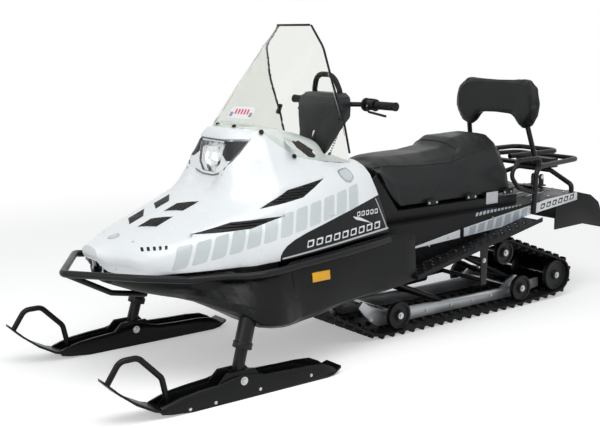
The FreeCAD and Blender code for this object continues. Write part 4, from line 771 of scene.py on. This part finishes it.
# The running boards: pressed sheet with round holes that let the snow through, each with a raised collar.
hole_rows = (318, 352, 386)
holes_a_row = 15
hole_pitch = 52
hole_radius = 11
hole_sides = 18
board_slope = (490 - 318) / (1862 - 1008)
board_facing = Vector((board_slope, 0, 1)).normalized()
leaned = board_facing.to_track_quat("Z", "Y").to_matrix().to_4x4()
collar_tree, given = tree_with("set_collars", bore_radius="Float", bead_radius="Float")
ring, bead = [
    add_node(
        collar_tree, "GeometryNodeCurvePrimitiveCircle", {"Radius": given[label]}, mode="RADIUS",
        inputs={"Resolution": resolution}).outputs[0]
    for label, resolution in (("bore radius", hole_sides), ("bead radius", 6))]
lip = add_node(collar_tree, "GeometryNodeCurveToMesh", {"Curve": ring, "Profile Curve": bead})
set_on_points(collar_tree, given, lip.outputs[0])
for name, side in sides.items():
    board = finished("running_board_" + name, satin_paint, edge=0)
    places = []
    cutter = bmesh.new()
    for row, y in enumerate(hole_rows):
        for step in range(holes_a_row):
            x = -1046 - hole_pitch * (step + 0.5 * (row % 2))
            place = spot(x, side * y, 318 + (-1008 - x) * board_slope)
            places.append((place, board_facing))
            bmesh.ops.create_cone(
                cutter, cap_ends=True, segments=hole_sides, radius1=hole_radius / 1000,
                radius2=hole_radius / 1000, depth=0.03, matrix=Matrix.Translation(place) @ leaned)
    punch = made_of("punch", cutter)
    holes = board.modifiers.new("holes", "BOOLEAN")
    holes.operation = "DIFFERENCE"
    holes.solver = "EXACT"
    holes.object = punch
    board.data = plain_mesh(board)
    board.data.set_sharp_from_angle(angle=math.radians(30))
    bpy.data.objects.remove(punch)
    set_out(
        "board_collars_" + name, places, "chassis", collar_tree,
        bore_radius=(hole_radius + 1) / 1000, bead_radius=0.0018, finish=satin_paint)


# The hood: one gel-coated moulding, white and glossy, that tips forward on a hinge at the nose.
# Vinyl film makes its black rear corners, the pale blocks along its sides and the plain marks on them.
corner_outline = [
    (-251, 505), (-255, 528), (-266, 546), (-289, 566), (-330, 586), (-396, 608), (-589, 659), (-806, 708),
    (-890, 726), (-890, 505)]
side_line = [(-262, 514), (-852, 568), (-852, 576), (-262, 520)]
rear_line = [(-811, 702), (-816, 703), (-847, 571), (-842, 571)]
block_count = 12
block_pitch = 75.5
block_width = 60
block_slant = 34
band_rise = 0.201
plate_outline = [
    (-649, 833), (-668, 838), (-712, 841), (-727, 822), (-727, 802), (-700, 782), (-668, 788), (-650, 812)]
plate_field = [
    (-657, 829), (-672, 832), (-708, 835), (-720, 819), (-720, 806), (-698, 790), (-671, 795), (-657, 814)]
nose_screws = ((270, 130, 611), (384, 66, 522), (346, 123, 507), (183, 274, 581))
lamp_screws = ((-230, 175, 931), (-150, 143, 847))

gel_coat = finish_of(
    "glass_fibre_gel_coat_white", "#e9edef", 0.30, 60.0, 0.30, tint=0.012, dull=0.05,
    Coat_Weight=0.25, Coat_Roughness=0.20)
hood = finished("hood", gel_coat, edge=0.0025, crease=38)
vents = finished("hood_vents", nylon, edge=0.0006)
vinyl_pale = finish_of("printed_vinyl_pale_grey", "#cad2d3", 0.28, 60.0, 0.10, tint=0.02)
# Vacuum-metallised film: a bright grey with a soft, slightly dull mirror.
silver_film = finish_of("metallised_film_silver", "#b4b8ba", 0.30, 8.0, 0.02, tint=0.05, Metallic=0.85)
for name, side in sides.items():
    view = (0, side, 0)
    film("hood_corner_" + name, hood, corner_outline, view, vinyl_dark, 0.0012)
    film("hood_side_line_" + name, hood, side_line, view, silver_film, 0.0018)
    film("hood_rear_line_" + name, hood, rear_line, view, silver_film, 0.0018)
    for block in range(block_count):
        back = block * block_pitch
        top_x = 156 - back
        low_x = top_x + block_slant
        low = 517 + (137 - low_x) * band_rise
        top = 597 + back * band_rise
        fall = block_width * band_rise
        outline = [
            (low_x, low), (low_x - block_width, low + fall), (top_x - block_width, top + fall), (top_x, top)]
        film("hood_block_%s_%02d" % (name, block), hood, rounded(outline, 12, 3), view, vinyl_pale)
    mark_row("hood_mark", hood, name, 9, (-386, 546), (-48, 3.744), (34, 29, 8, 4), vinyl_white, 0.0017)
    mark_row("hood_mark_field", hood, name, 9, (-392, 552), (-48, 3.744), (22, 17, 4, 3), vinyl_dark, 0.0021)
    mark_row("hood_small_mark", hood, name, 5, (-680, 640), (-27, 0), (19, 20, 5, 3), vinyl_white, 0.0017)
    mark_row("hood_small_field", hood, name, 5, (-684, 645), (-27, 0), (11, 11, 3, 2), vinyl_dark, 0.0021)
    mark_row("nose_mark", hood, name, 5, (272, 583), (-19, 1.5), (9, 13, 6, 2), vinyl_dark)
    film("side_plate_" + name, hood, rounded(plate_outline, 8, 2), view, silver_film, 0.002)
    film("side_plate_field_" + name, hood, rounded(plate_field, 6, 2), view, vinyl_pale, 0.0026)
for title, across, high, look, lift in (("nose_oval", 24, 25, silver_film, 0.002),
                                        ("nose_oval_field", 19, 20, vinyl_pale, 0.0026)):
    angles = [a * math.pi / 12 for a in range(24)]
    oval = [(290 + across * math.cos(a), high * math.sin(a)) for a in angles]
    film(title, hood, oval, (0, 0, 1), look, lift)
fastened("nose_screws", seats(hood, nose_screws), "hood_body", 5.5, 4, 2.5, 12)
fastened("lamp_screws", seats(hood, lamp_screws), "hood_body", 5.5, 4, 2.5, 12)


# The headlamp: a clear polycarbonate lens let into the pod, over a bright reflector in a dark housing.
# The lens is bonded in a grey rubber gasket, and the reflector is fluted so that it spreads the beam.
lamp_columns = 24
lamp_rows = 16
lamp_margin = 0.003
lamp_half_width = 0.1
bowl_rim = 0.010
bowl_depth = 0.034
flute_depth = 0.002
lamp_widths = ((0.0, 0.45), (0.30, 0.85), (1.0, 1.0))
wing = [(88, 926), (88, 979), (169, 979), (167, 938), (158, 902), (132, 900)]
face_outline = [(48, 842), (72, 876), (88, 926), (132, 899), (158, 900), (153, 876), (131, 856)]
brow = [(172, 985), (172, 993), (131, 1011), (72, 1023), (0, 1027)]
gasket_half = [
    (-200, 40, 981), (-203, 98, 981), (-240, 150, 980), (-265, 170, 979), (-225, 168, 938), (-190, 160, 903),
    (-162, 145, 868), (-166, 112, 850), (-167, 80, 841), (-168, 40, 832)]

lens_look = finish_of(
    "clear_polycarbonate", "#ffffff", 0.05, 30.0, 0.02, tint=0.0, dull=0.02,
    Transmission_Weight=1.0, IOR=1.45)
lens = finished("headlamp", lens_look, edge=0.0006)
# Vacuum-metallised plastic: a mirror, a little broken up by its flutes.
reflector_look = finish_of("metallised_reflector", "#dfe2e4", 0.10, 14.0, 0.05, tint=0.03, Metallic=1.0)
housing_look = finish_of("moulded_housing_dark_grey", "#202225", 0.45, 2.0, 0.05, Specular_IOR_Level=0.30)
gasket_look = finish_of("bonded_rubber_gasket", "#6d7173", 0.55, 2.0, 0.05)
lens_low, lens_high = [Vector(c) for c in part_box("headlamp")]
lens_skin = surface_of(lens)


def lamp_half(share):
    """Half the lens opening's width in metres at a share of its height: narrow at its foot, then full."""
    for (low, narrow), (high, wide) in zip(lamp_widths, lamp_widths[1:]):
        if share <= high:
            return lamp_half_width * (narrow + (wide - narrow) * (share - low) / (high - low))
    return lamp_half_width


# The reflector follows the lens at a depth: shallow at its rim, and a deep bowl in its middle.
work = bmesh.new()
rows = []
for level in range(lamp_rows + 1):
    z = lens_low.z + lamp_margin + (lens_high.z - lens_low.z - 2 * lamp_margin) * level / lamp_rows
    up = 2 * level / lamp_rows - 1
    half = lamp_half((z - lens_low.z) / (lens_high.z - lens_low.z)) - lamp_margin
    row = []
    for column in range(lamp_columns + 1):
        share = 0.97 * (2 * column / lamp_columns - 1)
        y = share * half
        hit = lens_skin.ray_cast(Vector((lens_high.x + 0.2, y, z)), Vector((-1, 0, 0)))[0]
        bowl = bowl_rim + bowl_depth * max(0, 1 - (share / 0.5) ** 2 - (up * 0.9) ** 2)
        flute = flute_depth if column % 2 == 0 else 0
        row.append(work.verts.new(((hit.x if hit else lens_low.x) - bowl - flute, y, z)))
    rows.append(row)
for low, high in zip(rows, rows[1:]):
    for i in range(lamp_columns):
        work.faces.new((low[i], low[i + 1], high[i + 1], high[i]))
work.normal_update()
if sum(face.normal.x for face in work.faces) < 0:
    bmesh.ops.reverse_faces(work, faces=work.faces)
bmesh.ops.solidify(work, geom=work.faces[:], thickness=0.0015)
made_of("lamp_bowl", work, reflector_look, "hood_body", 30)
# Beside the lens its face runs back along the pod: bright below, and black where the housing shows.
for name, side in sides.items():
    film("lamp_face_" + name, hood, [(side * y, z) for y, z in face_outline], (1, 0, 0), reflector_look)
    film("lamp_wing_" + name, hood, [(side * y, z) for y, z in wing], (1, 0, 0), housing_look, 0.0008)
# The brow over the lamp is a raised lip of the same gel coat.
film("lamp_brow", hood, brow + [(-y, z) for y, z in reversed(brow[:-1])], (1, 0, 0), gel_coat, 0.009)
lamp_skins = (lens_skin, surface_of(hood))
edge_line = []
for x, y, z in gasket_half + [(x, -y, z) for x, y, z in reversed(gasket_half)]:
    nearest = min((skin.find_nearest(spot(x, y, z)) for skin in lamp_skins), key=lambda found: found[3])
    edge_line.append(nearest[0] + nearest[1] * 0.0012)
strand("lamp_gasket", edge_line, 0.0032, gasket_look, "hood_body", kind="POLY", closed=True, facets=2)


# The air openings: black woven mesh is stretched behind every vent, and behind the two openings in the cowl.
# It is bonded to the inside of the moulding, so it shows only as a dark ground.
mesh_behind = 0.010
mesh_thickness = 0.0012
side_vent_corners = (
    ((90, 640), (-78, 677), (-310, 684), (-150, 646.6)),
    ((-215, 716), (-360, 781.5), (-560, 812), (-422, 746.6)))
top_vent_corners = (
    ((199, 34), (133, 34), (79, 124), (158.5, 124)),
    ((74, 34), (8, 34), (-46, 124), (33.5, 124)))
cowl_corners = ((-480, 187, 968), (-548, 157, 966), (-587, 219, 897), (-521, 246, 879))
woven_mesh = finish_of("woven_mesh_black", "#121213", 0.70, 1.6, 0.30, tint=0.2)
cowl_mesh = finish_of("woven_mesh_brown_black", "#2b2421", 0.55, 2.4, 0.30, tint=0.3)
vent_skin = surface_of(vents)


def backing(name, corners, look, inward=None):
    """A flat sheet of mesh through the corners, or behind where the vents' skin is nearest to them."""
    if inward:
        shift = Vector(inward).normalized() * mesh_behind
        corners = [vent_skin.find_nearest(corner)[0] + shift for corner in corners]
    work = bmesh.new()
    work.faces.new([work.verts.new(place) for place in corners])
    work.normal_update()
    bmesh.ops.solidify(work, geom=work.faces[:], thickness=mesh_thickness)
    bmesh.ops.recalc_face_normals(work, faces=work.faces)
    made_of(name, work, look, "hood_body")


for name, side in sides.items():
    for number, corners in enumerate(side_vent_corners):
        places = [spot(x, side * 330, z) for x, z in corners]
        backing("side_mesh_%s_%d" % (name, number), places, woven_mesh, (0, -side, -0.4))
    for number, corners in enumerate(top_vent_corners):
        places = [spot(x, side * y, 690 - x * 0.4) for x, y in corners]
        backing("top_mesh_%s_%d" % (name, number), places, woven_mesh, (-0.4, 0, -1))
    backing("cowl_mesh_" + name, [spot(x, side * y, z) for x, y, z in cowl_corners], cowl_mesh)


# The windshield: a sheet of clear acrylic, heated and bent, faintly tinted and bolted to the pod.
# A black rubber strip hugs its rear edges, a clip holds the strip, and a plain label is stuck inside it.
top_strip_z = 1.4585
top_strip_half = 0.121
label_bars = 5
label_bar_pitch = 0.017
clear_acrylic = finish_of(
    "bent_clear_acrylic", "#eef0ec", 0.06, 90.0, 0.02, tint=0.01, dull=0.02,
    Transmission_Weight=1.0, IOR=1.12)
shield = finished("windshield", clear_acrylic, edge=0)
rubber_strip = finish_of("extruded_rubber_black", "#111112", 0.50, 2.0, 0.04, Specular_IOR_Level=0.25)
trim = finished("windshield_trim", rubber_strip, edge=0.0006)
# The strip goes on over the top edge, where it is bent round the sheet's own curve.
shield_skin = surface_of(shield)
strip_line = []
for step in range(25):
    y = top_strip_half * (step / 12 - 1)
    hit = shield_skin.ray_cast(Vector((2, y, top_strip_z)), Vector((-1, 0, 0)))[0]
    if hit:
        strip_line.append(Vector((hit.x - 0.0025, y, top_strip_z + 0.004)))
strand("shield_top_strip", strip_line, 0.0052, rubber_strip, "hood_body", kind="POLY", caps=True)
shield_bolts = seats(hood, ((-263, 66, 1040), (-324, 182, 1015), (-453, 238, 906)))
shield_bolts = [(place + normal * 0.006, normal) for place, normal in shield_bolts]
fastened("shield_bolts", shield_bolts, "hood_body", 10.5, 8.5, 6, 16, rubber_strip)


def panel(name, middle, across, upward, size, look, body, thickness=0.0006, radius=4):
    """A thin rounded plate, free or stuck on, by its middle, its two directions and its size (wide, high)."""
    across = Vector(across).normalized()
    upward = (Vector(upward) - across * across.dot(Vector(upward))).normalized()
    facing = across.cross(upward)
    corners = [(x * size[0] / 2, y * size[1] / 2, 0) for x, y in ((-1, -1), (1, -1), (1, 1), (-1, 1))]
    work = bmesh.new()
    front = [
        work.verts.new(middle + (across * p.x + upward * p.y) / 1000 + facing * thickness / 2)
        for p in rounded(corners, radius, 3)]
    back = [work.verts.new(v.co - facing * thickness) for v in front]
    skinned(work, [front, back])
    made_of(name, work, look, body)


label_paper = finish_of("coated_label_white", "#e9eaec", 0.35, 4.0, 0.01, tint=0.02)
label_red = finish_of("printed_label_red", "#d9455f", 0.35, 4.0, 0.01, tint=0.04)
label_grey = finish_of("printed_label_grey", "#8d96a0", 0.35, 4.0, 0.01, tint=0.04)
hit, normal = shield_skin.find_nearest(spot(-306, 66, 1092))[:2]
if normal.x < 0:
    normal = -normal
across = Vector((0, 0, 1)).cross(normal).normalized()
upward = normal.cross(across)
label_middle = hit + normal * 0.0035
printed = label_middle + normal * 0.0007
panel("shield_label", label_middle, across, upward, (138, 62), label_paper, "hood_body", 0.0008, 6)
slanted = upward + across * 0.3
for bar in range(label_bars):
    title = "shield_label_bar_%d" % bar
    middle = printed + across * (bar - label_bars // 2) * label_bar_pitch + upward * 0.004
    panel(title, middle, across, slanted, (9, 26), label_red, "hood_body", radius=2)
for end in (-1, 1):
    title = "shield_label_end_%d" % (end + 1)
    middle = printed + across * end * 0.055 - upward * 0.010
    panel(title, middle, across, upward, (16, 22), label_grey, "hood_body", radius=2)
trim_skin = surface_of(trim)
for name, side in sides.items():
    hit, normal = trim_skin.find_nearest(spot(-735, side * 228, 1075))[:2]
    middle = hit - normal * 0.004
    panel("trim_clip_" + name, middle, (1, 0, 0.4), (-0.38, 0, 0.92), (17, 48), nylon, "hood_body", 0.014)


# The steering: a bent steel bar with rubber grips, moulded switch blocks and cast levers, on a raked column.
# A padded vinyl cover stands in front of it, and a padded steel loop rises over it as a handhold.
bar_end = Vector((-912, 372, 1104))
bar_axis = Vector((-6, 197, 0)).normalized()
grip_rib_count = 14
grip_rib_pitch = 8
finished("console", nylon, edge=0.004)
finished("steering_column", powder_coat, edge=0.001)
finished("handlebar", powder_coat, edge=0)
# Moulded foam over a steel core: a soft black with a fine open grain.
loop_foam = finish_of("moulded_foam_black", "#131415", 0.55, 1.2, 0.10, Specular_IOR_Level=0.25)
finished("grab_loop", loop_foam, edge=0)
# Heat-formed vinyl over foam: a blue-black skin with a fine pebble grain and a broad soft sheen.
cover_vinyl = finish_of("formed_vinyl_black", "#1a1e21", 0.40, 2.2, 0.14, Specular_IOR_Level=0.35)
finished("bar_pad", cover_vinyl, edge=0.012, crease=24)
grip_rubber = finish_of("moulded_grip_rubber", "#111213", 0.60, 1.4, 0.16, Specular_IOR_Level=0.25)
finished("grips", grip_rubber, edge=0.002)
finished("hand_controls", nylon, edge=0.0018)


def on_bar(from_end, shift=(0, 0, 0), along=None):
    """Both places some millimetres in from the bar's tips, shifted, each facing outwards or as given."""
    found = []
    for side in sides.values():
        place = bar_end - bar_axis * from_end
        facing = Vector(along or (bar_axis.x, side * bar_axis.y, 0))
        found.append((spot(place.x, side * place.y, place.z) + Vector(shift), facing))
    return found


def turned_form(name, places, profile, look, body, facets=28):
    """Round forms like a lathe's, each from a place along a direction, as (along, radius) in millimetres."""
    work = bmesh.new()
    for place, along in places:
        across = along.orthogonal().normalized()
        other = along.cross(across)
        spokes = [
            across * math.cos(2 * math.pi * i / facets) + other * math.sin(2 * math.pi * i / facets)
            for i in range(facets)]
        skinned(work, [
            [work.verts.new(place + along * far / 1000 + spoke * radius / 1000) for spoke in spokes]
            for far, radius in profile])
    made_of(name, work, look, body, 35)


grip_profile = [(0, 16)]
for rib in range(grip_rib_count):
    far = 4 + rib * grip_rib_pitch
    grip_profile += [(far, 17.2), (far + 1, 18.6), (far + 4, 18.6), (far + 5, 17.2)]
grip_profile += [(120, 17.5), (122, 20), (127, 20), (129, 14)]
flange_profile = [(0, 17), (1, 27), (5, 28), (8, 26), (9, 17)]
disc_profile = [(0, 12), (0.5, 30), (3, 31), (9, 31), (11, 29), (12, 12)]
buttons = [on_bar(far, (0, 0, 0.022), (0, 0, 1)) for far in (138, 152, 166)]
turned_form("grip_ribs", on_bar(122), grip_profile, grip_rubber, "steering")
inwards = [(place, -along) for place, along in on_bar(124)]
turned_form("grip_flanges", inwards, flange_profile, nylon, "steering")
turned_form("switch_buttons", sum(buttons, []), [(0, 6), (5, 6), (7, 4.5), (7.5, 3)], nylon, "steering", 16)
turned_form("clutch_discs", on_bar(196), disc_profile, nylon, "steering", 32)
turned_form("bar_clamps", on_bar(188), [(0, 14), (0.5, 19), (9, 19), (10, 14)], zinc, "steering", 24)
fastened("control_screws", on_bar(160, (0.024, 0, -0.004), (1, 0, 0)), "steering", 7, 6, 4)
column_nuts = [(spot(-822, y, 1112), Vector((0.5, 0, 0.866))) for y in (26, -26)]
fastened("clamp_nuts", column_nuts, "steering", 10, 7, 6)


# The seat: moulded foam under stretched vinyl, in two levels with a step for the passenger.
# The cover is sewn from panels with welted seams, and straps with two rivets each hold its skirt down.
seat_voxel = 0.006
seat_drawn_in = 0.003
seat_swell = 0.008
rest_drawn_in = 0.012
rest_swell = 0.016
blow_pressure = 4.0
blow_frames = 20
stitch_sizes = {"stitch_pitch": 0.009, "stitch_length": 0.006, "thread_radius": 0.0007}
stitch_beside = 0.0075
thread_proud = 0.0004
welt_proud = 0.0006
top_edge = [(-985, 118, 812), (-1040, 146, 806), (-1136, 160, 800), (-1321, 170, 796), (-1435, 176, 792),
            (-1500, 178, 806), (-1580, 176, 826), (-1663, 172, 836), (-1760, 166, 838), (-1835, 150, 822)]
side_seam = [
    (-1509, 150, 862), (-1480, 176, 820), (-1451, 180, 789), (-1408, 192, 751), (-1339, 208, 691),
    (-1285, 216, 640)]
step_seam = [(-1505, y, 880 - abs(y) * 0.12) for y in (150, 100, 50, 0, -50, -100, -150)]

# Grained vinyl: a charcoal black with a fine pebble and a broad soft sheen where it is stretched.
seat_vinyl = finish_of("grained_seat_vinyl", "#161819", 0.42, 2.6, 0.16, tint=0.10, Specular_IOR_Level=0.28)
finished("seat_base", satin_paint, edge=0.002)


def softened(work, turns):
    """Evens out the work's corners, a little at every turn."""
    for turn in range(turns):
        bmesh.ops.smooth_vert(
            work, verts=work.verts, factor=0.5, use_axis_x=True, use_axis_y=True, use_axis_z=True)


def stuffed(node, look, inside, cap, shape=None, soften=6):
    """A padded piece: its closed form, drawn in, then blown up as cloth until full, with its swell capped."""
    source = frame["nodes"][node]
    work = bmesh.new()
    work.from_mesh(source.data)
    bmesh.ops.remove_doubles(work, verts=work.verts, dist=weld_reach)
    bmesh.ops.recalc_face_normals(work, faces=work.faces)
    piece = made_of(node + "_sewn", work)
    remesh = piece.modifiers.new("cells", "REMESH")
    remesh.mode = "VOXEL"
    remesh.voxel_size = seat_voxel
    mesh = piece.data = plain_mesh(piece)
    work = bmesh.new()
    work.from_mesh(mesh)
    if shape:
        for corner in work.verts:
            corner.co = shape(corner.co)
    work.normal_update()
    for corner in work.verts:
        corner.co -= corner.normal * inside
    softened(work, soften)
    for face in work.faces:
        face.smooth = True
    work.to_mesh(mesh)
    work.free()
    start = [v.co.copy() for v in mesh.vertices]
    cloth = piece.modifiers.new("stuffing", "CLOTH")
    cloth.settings.use_pressure = True
    cloth.settings.uniform_pressure_force = blow_pressure
    cloth.settings.effector_weights.gravity = 0
    cloth.point_cache.frame_start = 1
    cloth.point_cache.frame_end = blow_frames
    for step in range(1, blow_frames + 1):
        bpy.context.scene.frame_set(step)
    blown = bpy.data.meshes.new_from_object(piece.evaluated_get(bpy.context.evaluated_depsgraph_get()))
    piece.modifiers.clear()
    for corner, before, after in zip(mesh.vertices, start, blown.vertices):
        moved = after.co - before
        corner.co = before + moved * min(1, cap / max(moved.length, 0.00001))
    bpy.data.meshes.remove(blown)
    bpy.context.scene.frame_set(1)
    work = bmesh.new()
    work.from_mesh(mesh)
    softened(work, 4)
    work.to_mesh(mesh)
    work.free()
    # The cover is drawn tight to the piece's own length, width and height.
    low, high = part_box(node)
    for axis in range(3):
        held = [v.co[axis] for v in mesh.vertices]
        lowest = min(held)
        scale = (high[axis] - low[axis]) / (max(held) - lowest)
        for corner, value in zip(mesh.vertices, held):
            corner.co[axis] = low[axis] + (value - lowest) * scale
    mesh.materials.append(look)
    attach(piece, source["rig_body"])
    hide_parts(node)
    return piece


# The stitch tree lays one short thread at every pitch along a seam's line.
stitch_tree, given = tree_with(
    "sew_stitches", stitch_pitch="Float", stitch_length="Float", thread_radius="Float")
along_seam = add_node(
    stitch_tree, "GeometryNodeCurveToPoints", {"Curve": given["Geometry"], "Length": given["stitch pitch"]},
    mode="LENGTH").outputs
thread = add_node(
    stitch_tree, "GeometryNodeMeshCylinder",
    {"Radius": given["thread radius"], "Depth": given["stitch length"]}, inputs={"Vertices": 6})
set_on_points(stitch_tree, given, thread.outputs["Mesh"], along_seam["Points"], along_seam["Rotation"])
thread_look = finish_of("bonded_nylon_thread", "#2e3033", 0.5, 1.0, 0.02)


def seam(name, skin, places, radius=0.0022, closed=False):
    """A welt laid along a padded skin through chosen places, with a row of stitches beside it."""
    knots = [spot(*place) for place in places]
    if closed:
        knots.append(knots[0])
    held = []
    for here, there in zip(knots, knots[1:]):
        steps = max(2, int((there - here).length / 0.015))
        held += [skin.find_nearest(here.lerp(there, step / steps))[:2] for step in range(steps)]
    if not closed:
        held.append(skin.find_nearest(knots[-1])[:2])
    stitch_line = []
    for index, (place, normal) in enumerate(held):
        along = (held[min(index + 1, len(held) - 1)][0] - held[max(index - 1, 0)][0]).normalized()
        stitch_line.append(place + normal * thread_proud + along.cross(normal) * stitch_beside)
    welt_line = [place + normal * welt_proud for place, normal in held]
    strand(name + "_welt", welt_line, radius, seat_vinyl, "chassis", closed=closed, facets=2)
    guide = laid(name + "_guide", drawn(name + "_guide", stitch_line, closed=closed))
    sewn = grown(guide, stitch_tree, finish=thread_look, **stitch_sizes)
    bpy.data.objects.remove(guide)
    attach(laid(name + "_thread", sewn), "chassis")


seat = stuffed("seat_cushion", seat_vinyl, seat_drawn_in, seat_swell)
seat_skin = surface_of(seat)
for name, side in sides.items():
    seam("seat_edge_" + name, seat_skin, [(x, side * y, z) for x, y, z in top_edge])
    seam("seat_side_" + name, seat_skin, [(x, side * y, z) for x, y, z in side_seam])
seam("seat_step", seat_skin, step_seam, radius=0.0030)
# The skirt's straps are steel tabs, each held to the base by two bright rivets.
upright = ((1, 0, 0), (0, 0, 1))
for name, side in sides.items():
    for number, front in enumerate((-1252, -1516, -1776)):
        tag = "%s_%d" % (name, number)
        middle = spot(front - 30, side * 233.5, 622)
        panel("seat_tab_" + tag, middle, *upright, (74, 26), powder_coat, "chassis", 0.003, 5)
        places = [(spot(front - shift, side * 235, 619), Vector((0, side, 0))) for shift in (6, 54)]
        fastened("tab_rivets_" + tag, places, "chassis", 5.5, 4.5, 3, 12)
    middle = spot(-1692, side * 232.6, 600)
    panel("side_label_" + name, middle, *upright, (84, 60), silver_film, "chassis", 0.0012)


# The backrest: a plump moulded cushion of foam under vinyl, wrapped round a pan on two steel posts.
# Its ends come forward as low wings, and one welt runs round its face where the front panel is sewn in.
rest_low, rest_high = [Vector(c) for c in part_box("backrest_cushion")]
rest_middle = (rest_low + rest_high) / 2
rest_half = (rest_high - rest_low) / 2
rest_face_x = -1948
wing_reach = 0.030
welt_quarters = (
    [(1.0, 0.10), (0.93, 0.62), (0.72, 0.92), (0.40, 0.97)],
    [(0.93, -0.52), (0.78, -0.84), (0.62, -0.80), (0.42, -0.52)])


def wrapped(place):
    """Bends the cushion: its ends come forward, and its faces crown towards the middle."""
    across = (place.y - rest_middle.y) / rest_half.y
    upward = (place.z - rest_middle.z) / rest_half.z
    crown = 0.70 + 0.30 * max(0, 1 - across ** 4) * max(0, 1 - upward ** 4)
    forward = wing_reach * (abs(across) ** 2.5 - 0.35)
    return Vector((rest_middle.x + (place.x - rest_middle.x) * crown + forward, place.y, place.z))


rest = stuffed("backrest_cushion", seat_vinyl, rest_drawn_in, rest_swell, wrapped, 14)
finished("backrest_posts", powder_coat, edge=0)
upper, lower = welt_quarters
outline = [(-y, z) for y, z in upper] + upper[::-1]
outline += lower + [(0.0, -0.46)] + [(-y, z) for y, z in lower[::-1]]
rest_places = [
    (rest_face_x + 26 * abs(y) ** 2.5, y * 262, rest_middle.z * 1000 + z * 108) for y, z in outline]
seam("backrest_front", surface_of(rest), rest_places, closed=True)


# The rear rack: welded steel tube, powder-coated black, with a raised hoop and the passenger's two handholds.
# Saddles and bolts hold its feet to the tunnel, and the handholds are drawn in the same powder coat.
for node in ("rack", "rack_hoop", "grab_handles"):
    finished(node, powder_coat, edge=0)
rack_feet = seats(tunnel, [(-1918, 290, 530), (-1918, 290, 514)], facing=(0, 1, 0))
fastened("rack_bolts", rack_feet, "chassis", 9, 7, 5)


# The tail lamp and hitch: a red acrylic lens in a black housing, over a steel hitch with two upright cheeks.
# A brass-coloured latch and its bright pin lie between the cheeks, and the flap hangs behind the tunnel.
finished("tail_lamp", housing_look, edge=0.003)
red_acrylic = finish_of("moulded_acrylic_red", "#c01722", 0.16, 8.0, 0.03, tint=0.08, Coat_Weight=0.4)
tail_low, tail_high = [Vector(c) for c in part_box("tail_lamp")]
tail_middle = (tail_low + tail_high) / 2
tail_size = tail_high - tail_low
for name, look, share_y, share_wide, depth in (
        ("left", red_acrylic, 0.29, 0.36, 0.008), ("right", red_acrylic, -0.29, 0.36, 0.008),
        ("middle", vinyl_white, 0.0, 0.18, 0.007)):
    middle = Vector((tail_low.x + 0.003, tail_middle.y + share_y * tail_size.y, tail_middle.z))
    size = (tail_size.y * share_wide * 1000, tail_size.z * 0.66 * 1000)
    panel("tail_lens_" + name, middle, (0, 1, 0), (0, 0, 1), size, look, "chassis", depth, 5)
finished("tow_hitch", powder_coat, edge=0.002)
brass = finish_of("yellow_passivated_steel", "#c9a45c", 0.34, 1.5, 0.03, Metallic=1.0)
pin_profile = [(0, 11), (2, 12), (4, 11), (4.2, 7.6), (70, 7.6), (72, 6)]
latch_profile = [(0, 13), (3, 13), (4, 9), (22, 9), (24, 12), (30, 12), (33, 8)]
turned_form("hitch_pin", [(spot(-2301, 36, 627.3), Vector((0, -1, 0)))], pin_profile, zinc, "chassis", 20)
turned_form("hitch_latch", [(spot(-2286, 0, 590), Vector((0, 0, 1)))], latch_profile, brass, "chassis", 20)
hitch_screws = [(spot(-2236, y, 586.4), Vector((0, 0, 1))) for y in (34, -34)]
fastened("hitch_screws", hitch_screws, "chassis", 11, 8, 6)
deck_screws = seats(tunnel, [(-1985, 240, 560), (-2110, 240, 567), (-2235, 240, 575)], facing=(0, 0, 1))
fastened("deck_screws", deck_screws, "chassis", 8, 6, 4)
# Moulded rubber sheet: a matt grey-black that shows a slight sheen where it curves.
flap_rubber = finish_of("moulded_flap_rubber", "#0e0f10", 0.44, 4.0, 0.08, Specular_IOR_Level=0.22)
flap = finished("snow_flap", flap_rubber, edge=0.002)
flap_screws = seats(flap, [(-2305, y, 575) for y in (-210, -105, 0, 105, 210)], facing=(0, 0, 1), pair=False)
fastened("flap_screws", flap_screws, "chassis", 9, 6, 4)
